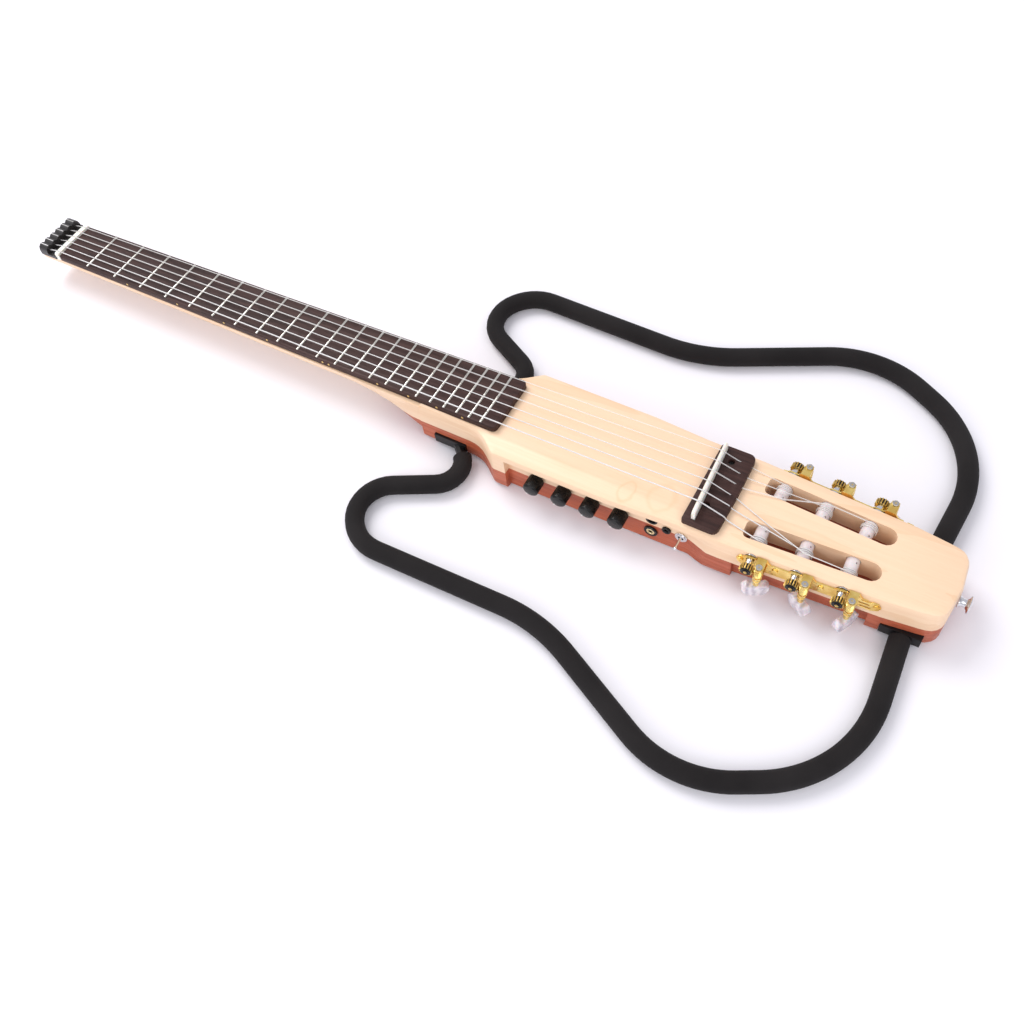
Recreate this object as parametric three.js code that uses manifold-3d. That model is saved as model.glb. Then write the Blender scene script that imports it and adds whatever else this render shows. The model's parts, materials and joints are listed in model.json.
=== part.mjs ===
// Travel guitar with nylon strings: a narrow solid body with the tuners at its tail,
// and two curved side frames that take the place of a full guitar's edge.
// x runs along the guitar towards the tail, y towards the treble side and z up from the top face.

import * as THREE from 'three';
import { mergeVertices } from 'three/addons/utils/BufferGeometryUtils.js';
import Module from 'manifold-3d';

const wasm = await Module();
wasm.setup();

// clearances
const seatGap = 0.3;
const overrun = 8;
const runningGap = 0.3;

// scale and fingerboard
const scaleLength = 650;
const fretCount = 22;
const boardOverrun = 13.6;
const boardThickness = 5.8;
const fretHeight = 1;
const fretWidth = 2.2;
const fretInset = 0.5;
const nutEndWidth = 42.9;
const bodyEndWidth = 52.6;
const boardCornerRadius = 4;
const neckTilt = 0.026;
const notesPerOctave = 12;

// nut, strings and string anchor
const nutThickness = 4.7;
const nutRise = 0.9;
const nutStringSpread = 35.6;
const stringCount = 6;
const stringDiameters = [1.1, 0.95, 0.8, 1.0, 0.85, 0.75];
const anchorBarFront = 15;
const anchorBarLength = 10;
const anchorBarHeight = 9.3;
const anchorWidth = 45;
const anchorBaseHeight = 3.2;
const anchorHoleHeight = 5.2;
const anchorLobeDepth = 0.9;

// neck and heel
const neckTopDrop = 0.3;
const shaftSections = [
  { fromNut: -25.5, deep: 15.5, exponent: 2.2 },
  { fromNut: 0, deep: 15.5, exponent: 2.2 },
  { fromNut: 150, deep: 16, exponent: 2.3 },
];
const heelSections = [
  { fromHeel: 68.2, deep: 16.5, exponent: 2.4 },
  { fromHeel: 48.2, deep: 18, exponent: 2.6 },
  { fromHeel: 33.2, deep: 22, exponent: 2.9 },
  { fromHeel: 23.2, deep: 27, exponent: 3.2 },
  { fromHeel: 13.2, deep: 33, exponent: 3.8 },
  { fromHeel: 5.2, deep: 37.5, exponent: 4.6 },
  { fromHeel: -1.8, deep: 39.3, exponent: 6 },
];
const heelFlare = 102.8;
const seamLead = 68;
const neckSideSteps = 12;
const heelWidth = 58;

// body
const topThickness = 21;
const bodyDepth = 41.5;
const topRound = 4.5;
const backRound = 3;
const heelFront = -72;
const hollowX = -14.5;
const hollowBend = 31;
const shoulderX = 5.3;
const shoulderHalfWidth = 44.3;
const shoulderBend = 5;
const waistX = 105;
const waistHalfWidth = 43.9;
const taperX = 150;
const taperHalfWidth = 41.3;
const facetStart = 195;
const facetStartHalfWidth = 40.8;
const facetEnd = 312;
const facetEndHalfWidth = 34.5;
const hipX = 338;
const hipHalfWidth = 31.3;
const tailX = 354.5;
const tailCornerX = 351.6;
const tailHalfWidth = 29;
const tailBend = 12;

// knob scoop in the bass side
const lipThickness = 5.5;
const scoopStart = 16.8;
const scoopTail = 71.19;
const scoopDepthStart = 5.9;
const scoopDepthEnd = 5.1;
const scoopRampStart = 15;
const scoopRampEnd = 17;
const scoopBend = 8;

// cut-away under the tuners
const cutawayStart = 204.6;
const cutawayEnd = 304;
const cutawayDepth = 5.5;

// controls
const knobCount = 4;
const knobFirst = 43.2;
const knobPitch = 23.87;
const knobHeight = -18;
const knobRadius = 6.5;
const knobLength = 12.4;
const knobBevel = 1;
const knobPointerWidth = 1;
const knobPointerDepth = 0.3;
const potShaftRadius = 3;
const bushingRadius = 3.5;
const headphoneStep = 24.19;
const headphoneHeight = -28.4;
const headphoneRingRadius = 5.5;
const auxStep = 36.59;
const auxHeight = -19.3;
const auxRingRadius = 3.6;
const jackBoreRadius = 1.75;
const outputStep = 24.69;
const outputHeight = -12.4;
const outputRadius = 4.8;
const outputBoreRadius = 3.2;
const toggleStep = 48.29;
const toggleHeight = -21.5;
const toggleNutRadius = 5;
const toggleLeverLength = 9;
const toggleLeverRadius = 1.2;
const toggleBallRadius = 1.6;
const toggleThroat = 2.2;
const ringStand = 1.6;
const jackDepth = 14;

// electronics cavity, closed from the back
const cavityStart = 32;
const cavityTail = 63.19;
const cavityBassSide = -31;
const cavityTrebleSide = 12;
const cavityCeiling = -6;
const cavityCorner = 6;
const coverRim = 3;
const coverThickness = 2;
const boardPlateThickness = 1.6;
const boardPlateHeight = 34;
const potDepth = 9;
const potSize = 9;
const batteryLength = 48.5;
const batteryWidth = 26.5;
const batteryHeight = 17.5;
const batteryStep = 58;

// bridge, saddle and pickup
const bridgeFront = 162;
const bridgeRear = 190.4;
const bridgeHalfWidth = 37.3;
const bridgeThickness = 5.2;
const bridgeRearRadius = 5;
const bridgeFrontRadius = 2;
const saddleX = 168;
const saddleSlope = 0.055;
const saddleThickness = 3;
const saddleHalfLength = 34;
const saddleTop = 14.3;
const saddleDepth = 3.6;
const pickupHeight = 1.2;
const saddleStringSpread = 48;
const bridgeHoleX = [189.2, 188.5, 184.4, 183.5, 182.6, 178.6];
const bridgeHoleY = [-22.4, -12, -2.6, 7.8, 17.6, 27.6];
const bridgeExitHeight = 2.6;

// tuner slots, rollers and machine heads
const stationCount = 3;
const firstStation = 22.7;
const stationPitch = 32.7;
const rollerHeight = -6.5;
const rollerRadius = 5;
const slotWidth = 15.2;
const slotWall = 11.8;
const slotStart = 10.8;
const slotEnd = 108.8;
const slotCorner = 4;
const rollerBlind = 5;
const plateThickness = 1.2;
const plateStart = 12.5;
const plateEnd = 116;
const plateHeight = 12.5;
const plateCentre = -8.6;
const plateBoss = 1.6;
const plateWaist = 2.2;
const screwHeadRadius = 2.4;
const screwHeadHeight = 1;
const gearOffset = 8.6;
const gearThickness = 4.6;
const gearTeeth = 14;
const gearRadius = 5.2;
const toothDepth = 0.9;
const gearHubRadius = 3.2;
const wormDistance = 8.4;
const wormRadius = 2.6;
const threadDepth = 0.85;
const threadLength = 9.6;
const threadSamples = 3;
const wormSides = 7;
const wormShaftRadius = 1.8;
const lugThickness = 2;
const lugWidth = 6.6;
const wormEndHeight = 0.9;
const collarRadius = 3;
const buttonShaftRadius = 2.6;
const buttonWidth = 20;
const buttonHeight = 16.5;
const buttonThickness = 7;
const buttonCentre = -27;
const buttonTurns = [25, -35, 60, 10, -50, 40];

// side frames
const foamDiameter = 15.5;
const foamBore = 8.6;
const tubeDiameter = 8;
const frameHeight = -35.1;
const frameHeelInset = 33;
const frameHeelX = heelFront + frameHeelInset;
const frameHeelY = 28;
const hornInnerX = -8.5;
const hornInnerY = 56.5;
const hornInnerBend = 21;
const hornTipX = -90;
const hornTipY = 99;
const hornTipBend = 28;
const hornOuterX = -66;
const hornOuterY = 144;
const hornOuterBend = 36;
const frameWaistX = 99;
const frameWaistY = 139.3;
const frameWaistBend = 130;
const boutX = 233;
const boutY = 204.5;
const boutBend = 84;
const boutEndX = 337.5;
const boutEndY = 147;
const boutEndBend = 94.5;
const frameTailInset = 24.9;
const frameTailX = tailX - frameTailInset;
const frameTailY = 33;
const framePath = [
  { x: frameHeelX, y: frameHeelY, bend: 0 },
  { x: hornInnerX, y: hornInnerY, bend: hornInnerBend },
  { x: hornTipX, y: hornTipY, bend: hornTipBend },
  { x: hornOuterX, y: hornOuterY, bend: hornOuterBend },
  { x: frameWaistX, y: frameWaistY, bend: frameWaistBend },
  { x: boutX, y: boutY, bend: boutBend },
  { x: boutEndX, y: boutEndY, bend: boutEndBend },
  { x: frameTailX, y: frameTailY, bend: 0 },
];
const foamSides = 10;
const foamBoreSides = 8;
const pathSteps = 4;
const tongueWidth = 29.4;
const tongueInner = 2;
const heelTongueEnd = 31;
const tailTongueEnd = 35.4;
const tubeRoot = 7;
const foamHeelStart = 14.2;
const foamTailStart = 3.4;
const heelChannelShift = 5.5;
const tailChannelShift = 0.9;
const heelChannelX = frameHeelX - heelChannelShift;
const tailChannelX = frameTailX - tailChannelShift;
const channelWidth = 30;
const channelDepth = 12.6;
const clampPlateThickness = 2.5;
const clampPlateMargin = 8;
const clampPlateWidth = 40;

// strap button
const strapHeight = -18.5;
const strapHeadRadius = 7;
const strapNeckRadius = 3.4;
const strapLength = 9;

const half = 0.5;
const curveSteps = 4;
const roundSides = 14;
const smallSides = 6;
const fittingSides = 12;

// material of each piece
const finish = (color, roughness, metalness) => new THREE.MeshStandardMaterial({ color, roughness, metalness });
const maple = finish(0xf6dcb4, 0.45, 0);
const mahogany = finish(0xa9573a, 0.5, 0);
const rosewood = finish(0x3d2723, 0.55, 0);
const ebony = finish(0x1c1817, 0.5, 0);
const bone = finish(0xf7f3e8, 0.35, 0);
const nylon = finish(0xe9e6e0, 0.3, 0);
const gold = finish(0xe2b93c, 0.25, 1);
const darkGear = finish(0x2a241b, 0.4, 1);
const pearl = finish(0xe4e1e6, 0.25, 0);
const rollerPlastic = finish(0xefe7e4, 0.4, 0);
const blackPlastic = finish(0x101011, 0.3, 0);
const foam = finish(0x221f1f, 0.95, 0);
const steel = finish(0x3a3a3c, 0.45, 1);
const chrome = finish(0xd8d8da, 0.15, 1);
const board = finish(0x1e5c38, 0.5, 0);
const coverPlastic = finish(0x161616, 0.6, 0);

const guitar = new THREE.Group();
const bodyGroup = new THREE.Group();
const neckGroup = new THREE.Group();
neckGroup.rotation.y = -neckTilt;
bodyGroup.add(neckGroup);
guitar.add(bodyGroup);

// geometry helpers
function cleaned(geometry) {
  const source = geometry.clone();
  source.deleteAttribute('normal');
  source.deleteAttribute('uv');
  return mergeVertices(source);
}

function toSolid(geometry) {
  const merged = cleaned(geometry);
  const vertProperties = new Float32Array(merged.attributes.position.array);
  const triVerts = new Uint32Array(merged.index.array);
  return new wasm.Manifold(new wasm.Mesh({ numProp: 3, vertProperties, triVerts }));
}

function toGeometry(solid) {
  const result = solid.getMesh();
  const geometry = new THREE.BufferGeometry();
  geometry.setAttribute('position', new THREE.BufferAttribute(result.vertProperties, 3));
  geometry.setIndex(new THREE.BufferAttribute(result.triVerts, 1));
  geometry.computeVertexNormals();
  return geometry;
}

function combine(first, operation, others) {
  const solids = others.map(toSolid);
  return toGeometry(solids.reduce((total, other) => total[operation](other), toSolid(first)));
}

const cut = (first, ...others) => combine(first, 'subtract', others);
const fuse = (first, ...others) => combine(first, 'add', others);
const common = (first, ...others) => combine(first, 'intersect', others);

function addMesh(parent, name, geometry, material) {
  const mesh = new THREE.Mesh(geometry, material);
  mesh.name = name;
  parent.add(mesh);
  return mesh;
}

// a closed skin over rings of points, which all run the same way round
function skin(rings) {
  const sides = rings[0].length;
  const positions = rings.flat().flatMap((point) => [point.x, point.y, point.z]);
  const index = [];
  rings.slice(1).forEach((ring, row) => {
    ring.forEach((point, side) => {
      const next = (side + 1) % sides;
      const low = row * sides;
      const high = low + sides;
      index.push(low + side, low + next, high + next, low + side, high + next, high + side);
    });
  });
  const last = (rings.length - 1) * sides;
  for (let side = 2; side < sides; side += 1) {
    index.push(0, side, side - 1, last, last + side - 1, last + side);
  }
  const geometry = new THREE.BufferGeometry();
  geometry.setAttribute('position', new THREE.Float32BufferAttribute(positions, 3));
  geometry.setIndex(index);
  const volume = signedVolume(geometry);
  if (volume < 0) {
    geometry.setIndex(index.slice().reverse());
  }
  return geometry;
}

function signedVolume(geometry) {
  const position = geometry.attributes.position;
  const corners = [new THREE.Vector3(), new THREE.Vector3(), new THREE.Vector3()];
  let total = 0;
  for (let i = 0; i < geometry.index.count; i += corners.length) {
    corners.forEach((corner, k) => corner.fromBufferAttribute(position, geometry.index.getX(i + k)));
    total += corners[0].dot(corners[1].clone().cross(corners[2]));
  }
  return total;
}

// a round bar through points that lie close enough to make its curve
function bar(points, radius, sides, turn = 0) {
  const rings = [];
  const up = new THREE.Vector3(0, 0, 1);
  let across = null;
  points.forEach((point, i) => {
    const before = points[Math.max(i - 1, 0)];
    const after = points[Math.min(i + 1, points.length - 1)];
    const along = after.clone().sub(before).normalize();
    if (across === null) {
      across = Math.abs(along.dot(up)) > Math.SQRT1_2 ? new THREE.Vector3(0, 1, 0) : up.clone();
    }
    across.sub(along.clone().multiplyScalar(across.dot(along))).normalize();
    const third = along.clone().cross(across);
    const ring = [];
    for (let side = 0; side < sides; side += 1) {
      const angle = ((side + turn) / sides) * Math.PI * 2;
      const offset = across.clone().multiplyScalar(Math.cos(angle) * radius);
      offset.add(third.clone().multiplyScalar(Math.sin(angle) * radius));
      ring.push(point.clone().add(offset));
    }
    rings.push(ring);
  });
  return skin(rings);
}

// corner points rounded by their own bend radius, as points along the line
function roundedLine(corners, steps) {
  const line = [];
  corners.forEach((corner, i) => {
    const here = new THREE.Vector2(corner.x, corner.y);
    if (!corner.bend) {
      line.push(here);
      return;
    }
    const previous = corners[(i + corners.length - 1) % corners.length];
    const next = corners[(i + 1) % corners.length];
    const back = new THREE.Vector2(previous.x, previous.y).sub(here).normalize();
    const ahead = new THREE.Vector2(next.x, next.y).sub(here).normalize();
    const opening = Math.acos(THREE.MathUtils.clamp(back.dot(ahead), -1, 1));
    const reach = corner.bend / Math.tan(opening * half);
    const start = here.clone().add(back.clone().multiplyScalar(reach));
    const end = here.clone().add(ahead.clone().multiplyScalar(reach));
    const middle = back.clone().add(ahead).normalize().multiplyScalar(corner.bend / Math.sin(opening * half));
    const centre = here.clone().add(middle);
    const from = start.clone().sub(centre);
    const to = end.clone().sub(centre);
    const sweep = Math.atan2(from.cross(to), from.dot(to));
    for (let step = 0; step <= steps; step += 1) {
      line.push(from.clone().rotateAround(new THREE.Vector2(), (sweep * step) / steps).add(centre));
    }
  });
  return line;
}

// an outline in x and y, raised from one height to another, with rounded upper or lower edges
function slab(outline, low, high, edge, holes = []) {
  const shape = new THREE.Shape(outline);
  shape.holes = holes.map((hole) => new THREE.Path(hole));
  const options = { depth: high - low, bevelEnabled: false };
  const geometry = new THREE.ExtrudeGeometry(shape, options);
  geometry.translate(0, 0, low);
  if (!edge) {
    return geometry;
  }
  const round = {
    depth: high - low - edge - edge,
    bevelThickness: edge,
    bevelSize: edge,
    bevelOffset: -edge,
    bevelSegments: 2,
  };
  const rounded = new THREE.ExtrudeGeometry(shape, round);
  rounded.translate(0, 0, low + edge);
  return rounded;
}

function box(x0, x1, y0, y1, z0, z1) {
  const geometry = new THREE.BoxGeometry(x1 - x0, y1 - y0, z1 - z0);
  geometry.translate((x0 + x1) * half, (y0 + y1) * half, (z0 + z1) * half);
  return geometry;
}

// a cylinder along y from one y to another
function pin(radius, x, z, y0, y1, sides = roundSides) {
  const geometry = new THREE.CylinderGeometry(radius, radius, y1 - y0, sides);
  geometry.translate(x, (y0 + y1) * half, z);
  return geometry;
}

// a cylinder along z
function post(radius, x, y, z0, z1, sides = roundSides) {
  const geometry = new THREE.CylinderGeometry(radius, radius, z1 - z0, sides);
  geometry.rotateX(Math.PI * half);
  geometry.translate(x, y, (z0 + z1) * half);
  return geometry;
}

// a turned piece about the z axis, from a profile of radius and height
function turned(profile, sides = roundSides) {
  const geometry = new THREE.LatheGeometry(profile.map(([r, h]) => new THREE.Vector2(r, h)), sides);
  geometry.rotateX(Math.PI * half);
  return geometry;
}

const mirrored = (outline) => outline.map((corner) => ({ ...corner, y: -corner.y })).reverse();

// places worked out from the sizes
const lastKnobX = knobFirst + knobPitch * (knobCount - 1);
const headphoneX = lastKnobX + headphoneStep;
const auxX = lastKnobX + auxStep;
const outputX = lastKnobX + outputStep;
const toggleX = lastKnobX + toggleStep;
const scoopEnd = lastKnobX + scoopTail;
const cavityEnd = lastKnobX + cavityTail;
const batteryX = cavityEnd - batteryStep;
const scoopWallStart = shoulderHalfWidth - scoopDepthStart;
const scoopWallEnd = facetStartHalfWidth - scoopDepthEnd;
const fretPlane = boardThickness + fretHeight;
const fretPlace = (n) => scaleLength * (1 - 2 ** (-n / notesPerOctave));
const boardLength = fretPlace(fretCount) + boardOverrun;
const nutX = -boardLength;
const boardHalfWidth = (x) => THREE.MathUtils.lerp(bodyEndWidth, nutEndWidth, -x / boardLength) * half;
const facetAngle = Math.atan2(facetStartHalfWidth - facetEndHalfWidth, facetEnd - facetStart);
const cavityWall = (x) => {
  const from = scoopStart + scoopRampStart;
  const share = (x - from) / (scoopEnd - scoopRampEnd - from);
  return -THREE.MathUtils.lerp(scoopWallStart, scoopWallEnd, share);
};

// a point or a piece of the neck, carried into the body's own axes
const neckTurn = new THREE.Matrix4().makeRotationY(-neckTilt);
const fromNeck = (x, y, z) => new THREE.Vector3(x, y, z).applyMatrix4(neckTurn);

// a point beside the tapered tail: u along its side face, v inward from it
function facetPoint(side, u, v, z) {
  const x = facetStart + u * Math.cos(facetAngle) - v * Math.sin(facetAngle);
  const y = facetStartHalfWidth - u * Math.sin(facetAngle) - v * Math.cos(facetAngle);
  return new THREE.Vector3(x, side * y, z);
}

function facetGroup(side) {
  const group = new THREE.Group();
  group.position.set(facetStart, side * facetStartHalfWidth, 0);
  group.rotation.z = -side * facetAngle;
  bodyGroup.add(group);
  return group;
}

const lie = (geometry, side) => geometry.rotateX(-side * Math.PI * half);
const stationU = (station) => firstStation + station * stationPitch;

// strings: one unbroken line each, from the knot at the head to the windings on its roller
const stringPlaces = [
  { side: -1, station: 0, v: 13.3, bendOver: false },
  { side: -1, station: 1, v: 16.9, bendOver: false },
  { side: -1, station: 2, v: 13.8, bendOver: true },
  { side: 1, station: 2, v: 13.8, bendOver: true },
  { side: 1, station: 1, v: 16.9, bendOver: false },
  { side: 1, station: 0, v: 13.3, bendOver: false },
];
const windingTurns = 2.5;
const windingSteps = 10;
const windingGap = 0.55;
const stringSides = 5;
const edgeBendU = 27.5;
const edgeBendV = 26.3;
const edgeBendHeight = 1;
const passU = 55.4;
const passV = 14.9;
const passHeight = 0.9;
const stringFloor = 0.6;
const loopRise = 0.5;

function stringLine(index) {
  const place = stringPlaces[index];
  const radius = stringDiameters[index] * half;
  const share = index / (stringCount - 1) - half;
  const nutY = share * nutStringSpread;
  const saddleY = share * saddleStringSpread;
  const barFront = nutX - anchorBarFront;
  const barBack = barFront - anchorBarLength;
  const backX = barBack - seatGap - radius;
  const loopTop = anchorBarHeight + loopRise;
  const neckPoints = [
    [barFront - radius, loopTop],
    [barBack + radius, loopTop],
    [backX, loopTop - radius],
    [backX, anchorHoleHeight + radius],
    [barBack + radius, anchorHoleHeight],
    [barFront, anchorHoleHeight],
    [nutX - nutThickness - seatGap, fretPlane + stringFloor],
    [nutX, fretPlane + stringFloor],
  ];
  const line = neckPoints.map(([x, z]) => fromNeck(x, nutY, z));
  line.push(new THREE.Vector3(saddleX - saddleSlope * saddleY, saddleY, saddleTop + seatGap + radius));
  const hole = new THREE.Vector3(bridgeHoleX[index], bridgeHoleY[index], bridgeThickness);
  line.push(hole);
  const exitX = Math.max(bridgeRear, hole.x + radius) + seatGap;
  line.push(new THREE.Vector3(exitX, hole.y, bridgeExitHeight));
  if (place.bendOver) {
    line.push(facetPoint(place.side, edgeBendU, edgeBendV, edgeBendHeight));
    line.push(facetPoint(place.side, passU, passV, passHeight));
  }
  const reach = rollerRadius + runningGap + radius;
  const u = stationU(place.station);
  const total = Math.round(windingTurns * windingSteps);
  const pitch = stringDiameters[index] + windingGap;
  for (let step = 0; step <= total; step += 1) {
    const turn = step / windingSteps;
    const angle = turn * Math.PI * 2;
    const v = place.v + pitch * turn;
    line.push(facetPoint(place.side, u + reach * Math.sin(angle), v, rollerHeight + reach * Math.cos(angle)));
  }
  return line;
}

function leastGap(line, diameter) {
  const wound = line.slice(-Math.round(windingTurns * windingSteps));
  let least = Infinity;
  wound.forEach((point, i) => {
    wound.slice(i + Math.round(windingSteps * half)).forEach((other) => {
      least = Math.min(least, point.distanceTo(other) - diameter);
    });
  });
  return least;
}

const stringLines = stringDiameters.map((diameter, index) => stringLine(index));
stringLines.forEach((line, index) => {
  const gap = leastGap(line, stringDiameters[index]);
  console.log('string', index + 1, 'least gap between windings in mm:', gap.toFixed(2));
});
const neckPointCount = 8;
const stringClearance = (index, from, to) =>
  bar(stringLines[index].slice(from, to), stringDiameters[index] * half + seatGap, stringSides);

// body outline, the same on both sides
const sideLine = [
  { x: heelFront, y: heelWidth * half },
  { x: hollowX, y: heelWidth * half, bend: hollowBend },
  { x: shoulderX, y: shoulderHalfWidth, bend: shoulderBend },
  { x: waistX, y: waistHalfWidth },
  { x: taperX, y: taperHalfWidth },
  { x: facetStart, y: facetStartHalfWidth },
  { x: facetEnd, y: facetEndHalfWidth },
  { x: hipX, y: hipHalfWidth },
  { x: tailCornerX, y: tailHalfWidth, bend: tailBend },
  { x: tailX, y: 0 },
];
const wholeLine = [...mirrored(sideLine).slice(1), ...sideLine];
const bodyLine = roundedLine(wholeLine.map((corner) => ({ bend: 0, ...corner })), curveSteps);

// the neck's shaft, heel and head block: rings of a rounded half section below a flat top
function neckLoft(grow) {
  const placed = [
    ...shaftSections.map((section) => ({ ...section, x: nutX + section.fromNut })),
    ...heelSections.map((section) => ({ ...section, x: heelFront - section.fromHeel })),
  ];
  const sections = placed.map((section) => {
    const x = section.x;
    const shareOfWay = THREE.MathUtils.smoothstep(x, heelFront - heelFlare, heelFront);
    const width = THREE.MathUtils.lerp(boardHalfWidth(Math.max(x, nutX)), heelWidth * half, shareOfWay);
    const ring = [];
    for (let step = 0; step <= neckSideSteps; step += 1) {
      const angle = (step / neckSideSteps) * Math.PI;
      const power = 2 / section.exponent;
      const y = (width + grow) * Math.sign(Math.cos(angle)) * Math.abs(Math.cos(angle)) ** power;
      const z = -neckTopDrop - (section.deep + grow) * Math.sin(angle) ** power;
      ring.push(fromNeck(x, y, Math.abs(Math.sin(angle)) < Number.EPSILON * 8 ? -neckTopDrop : z));
    }
    return ring;
  });
  return skin(sections);
}

const seam = -topThickness;
const underside = -bodyDepth;
const far = scaleLength;
const aboveSeam = box(-far, far, -far, far, seam, far);
const belowSeam = box(heelFront - seamLead, far, -far, far, -far, seam);
const cavityOutline = (grow) => roundedLine([
  { x: cavityStart - grow, y: cavityBassSide - grow, bend: cavityCorner },
  { x: cavityEnd + grow, y: cavityBassSide - grow, bend: cavityCorner },
  { x: cavityEnd + grow, y: cavityTrebleSide + grow, bend: cavityCorner },
  { x: cavityStart - grow, y: cavityTrebleSide + grow, bend: cavityCorner },
], curveSteps);
const cavity = slab(cavityOutline(0), underside - overrun, cavityCeiling, 0);

const scoopDepthY = shoulderHalfWidth + overrun;
const scoop = slab(roundedLine([
  { x: scoopStart, y: -scoopDepthY },
  { x: scoopStart, y: -scoopWallStart, bend: 0 },
  { x: scoopStart + scoopRampStart, y: -scoopWallStart, bend: 0 },
  { x: scoopEnd - scoopRampEnd, y: -scoopWallEnd, bend: scoopBend },
  { x: scoopEnd, y: -taperHalfWidth, bend: 0 },
  { x: scoopEnd, y: -scoopDepthY },
].map((corner) => ({ bend: 0, ...corner })), curveSteps), underside - overrun, -lipThickness, 0);

// tuner slots with rounded ends, and the bores that the rollers turn in
function slotCut(side) {
  const corners = [
    [slotStart, slotWall, slotCorner],
    [slotEnd, slotWall, slotWidth * half],
    [slotEnd, slotWall + slotWidth, slotWidth * half],
    [slotStart, slotWall + slotWidth, slotCorner],
  ];
  const outline = roundedLine(corners.map(([u, v, bend]) => {
    const place = facetPoint(side, u, v, 0);
    return { x: place.x, y: place.y, bend };
  }), curveSteps);
  return slab(outline, underside - overrun, overrun, 0);
}

function rollerBore(side, station) {
  const length = slotWall + slotWidth + rollerBlind + overrun;
  const boreRadius = rollerRadius + runningGap;
  const bore = new THREE.CylinderGeometry(boreRadius, boreRadius, length, roundSides);
  bore.rotateZ(-side * facetAngle);
  const centre = facetPoint(side, stationU(station), length * half - overrun, rollerHeight);
  bore.translate(centre.x, centre.y, centre.z);
  return bore;
}

const sides = [-1, 1];
const stations = [...Array(stationCount).keys()];
const slots = sides.map(slotCut);
const bores = sides.flatMap((side) => stations.map((station) => rollerBore(side, station)));

// wall holes for the pots, the sockets and the switch
const knobPlaces = [...Array(knobCount).keys()].map((n) => knobFirst + n * knobPitch);
const wallHole = (radius, x, z) =>
  pin(radius + seatGap, x, z, -scoopDepthY, cavityBassSide + overrun, fittingSides);
const barrelShare = 0.8;
const wallHoles = [
  ...knobPlaces.map((x) => wallHole(bushingRadius, x, knobHeight)),
  wallHole(headphoneRingRadius * barrelShare, headphoneX, headphoneHeight),
  wallHole(auxRingRadius * barrelShare, auxX, auxHeight),
  wallHole(outputRadius * barrelShare, outputX, outputHeight),
  wallHole(toggleNutRadius * barrelShare, toggleX, toggleHeight),
];

// a channel for the tongues of the side frames, and a wider seat for its clamp plate
const channel = (x) => box(
  x - channelWidth * half, x + channelWidth * half, -far, far, -far, underside + channelDepth,
);
const clampWidth = channelWidth + clampPlateMargin;
const clampSeat = (x) => box(
  x - clampWidth * half - seatGap, x + clampWidth * half + seatGap,
  -clampPlateWidth * half - seatGap, clampPlateWidth * half + seatGap,
  -far, underside + clampPlateThickness + seatGap,
);
const channels = [heelChannelX, tailChannelX].flatMap((x) => [channel(x), clampSeat(x)]);

// the seat of the fingerboard in the top, and the truss rod's groove below it
function boardOutline(grow) {
  const near = bodyEndWidth * half + grow;
  const farHalf = nutEndWidth * half + grow;
  return roundedLine([
    { x: nutX, y: -farHalf, bend: 0 },
    { x: grow, y: -near, bend: boardCornerRadius },
    { x: grow, y: near, bend: boardCornerRadius },
    { x: nutX, y: farHalf, bend: 0 },
  ], curveSteps);
}
const boardSeat = slab(boardOutline(seatGap), -neckTopDrop, overrun, 0).applyMatrix4(neckTurn);
const rodWidth = 6;
const rodDepth = 9;
const rodMargin = 14;
const rodGroove = (grow) => box(
  nutX + rodMargin - grow, heelFront, -rodWidth * half - grow, rodWidth * half + grow,
  -neckTopDrop - rodDepth - grow, grow ? overrun : -neckTopDrop - seatGap,
);
const rodCut = rodGroove(seatGap).applyMatrix4(neckTurn);

const topSlab = slab(bodyLine, seam - overrun, 0, topRound);
const backSlab = slab(bodyLine, underside, seam + overrun, backRound);
const neckBlank = neckLoft(0);
const mapleBlank = fuse(common(topSlab, aboveSeam), cut(neckBlank, belowSeam));
addMesh(bodyGroup, 'maple_neck_body', cut(
  mapleBlank, boardSeat, rodCut, cavity, scoop, ...slots, ...bores, ...wallHoles,
), maple);

const cutaways = sides.map((side) => slab([
  [cutawayStart, cutawayDepth], [cutawayEnd, cutawayDepth], [cutawayEnd, -far], [cutawayStart, -far],
].map(([x, v]) => {
  const inward = facetStartHalfWidth - (x - facetStart) * Math.tan(facetAngle) - v;
  return new THREE.Vector2(x, side * inward);
}), -far, seam, 0));
const coverSeat = slab(cavityOutline(coverRim), underside - overrun, underside + coverThickness + seatGap, 0);
const mahoganyBlank = fuse(common(backSlab, belowSeam), common(neckBlank, belowSeam));
addMesh(bodyGroup, 'mahogany_back', cut(
  mahoganyBlank, cavity, coverSeat, scoop, ...slots, ...wallHoles, ...cutaways, ...channels,
), mahogany);

// fingerboard with its 22 frets
const fretBars = [...Array(fretCount).keys()].map((n) => {
  const x = nutX + fretPlace(n + 1);
  const reach = boardHalfWidth(x) - fretInset;
  const crown = [
    [-fretWidth * half, -fretHeight], [fretWidth * half, -fretHeight],
    [fretWidth * half, fretHeight * half], [fretWidth * half * half, fretHeight],
    [-fretWidth * half * half, fretHeight], [-fretWidth * half, fretHeight * half],
  ];
  const ends = [-reach, reach];
  return skin(ends.map((y) => crown.map(([dx, dz]) => new THREE.Vector3(x + dx, y, boardThickness + dz))));
});
addMesh(neckGroup, 'fingerboard', fuse(slab(boardOutline(0), 0, boardThickness, 0), ...fretBars), rosewood);

addMesh(neckGroup, 'truss_rod', rodGroove(0), steel);

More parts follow.
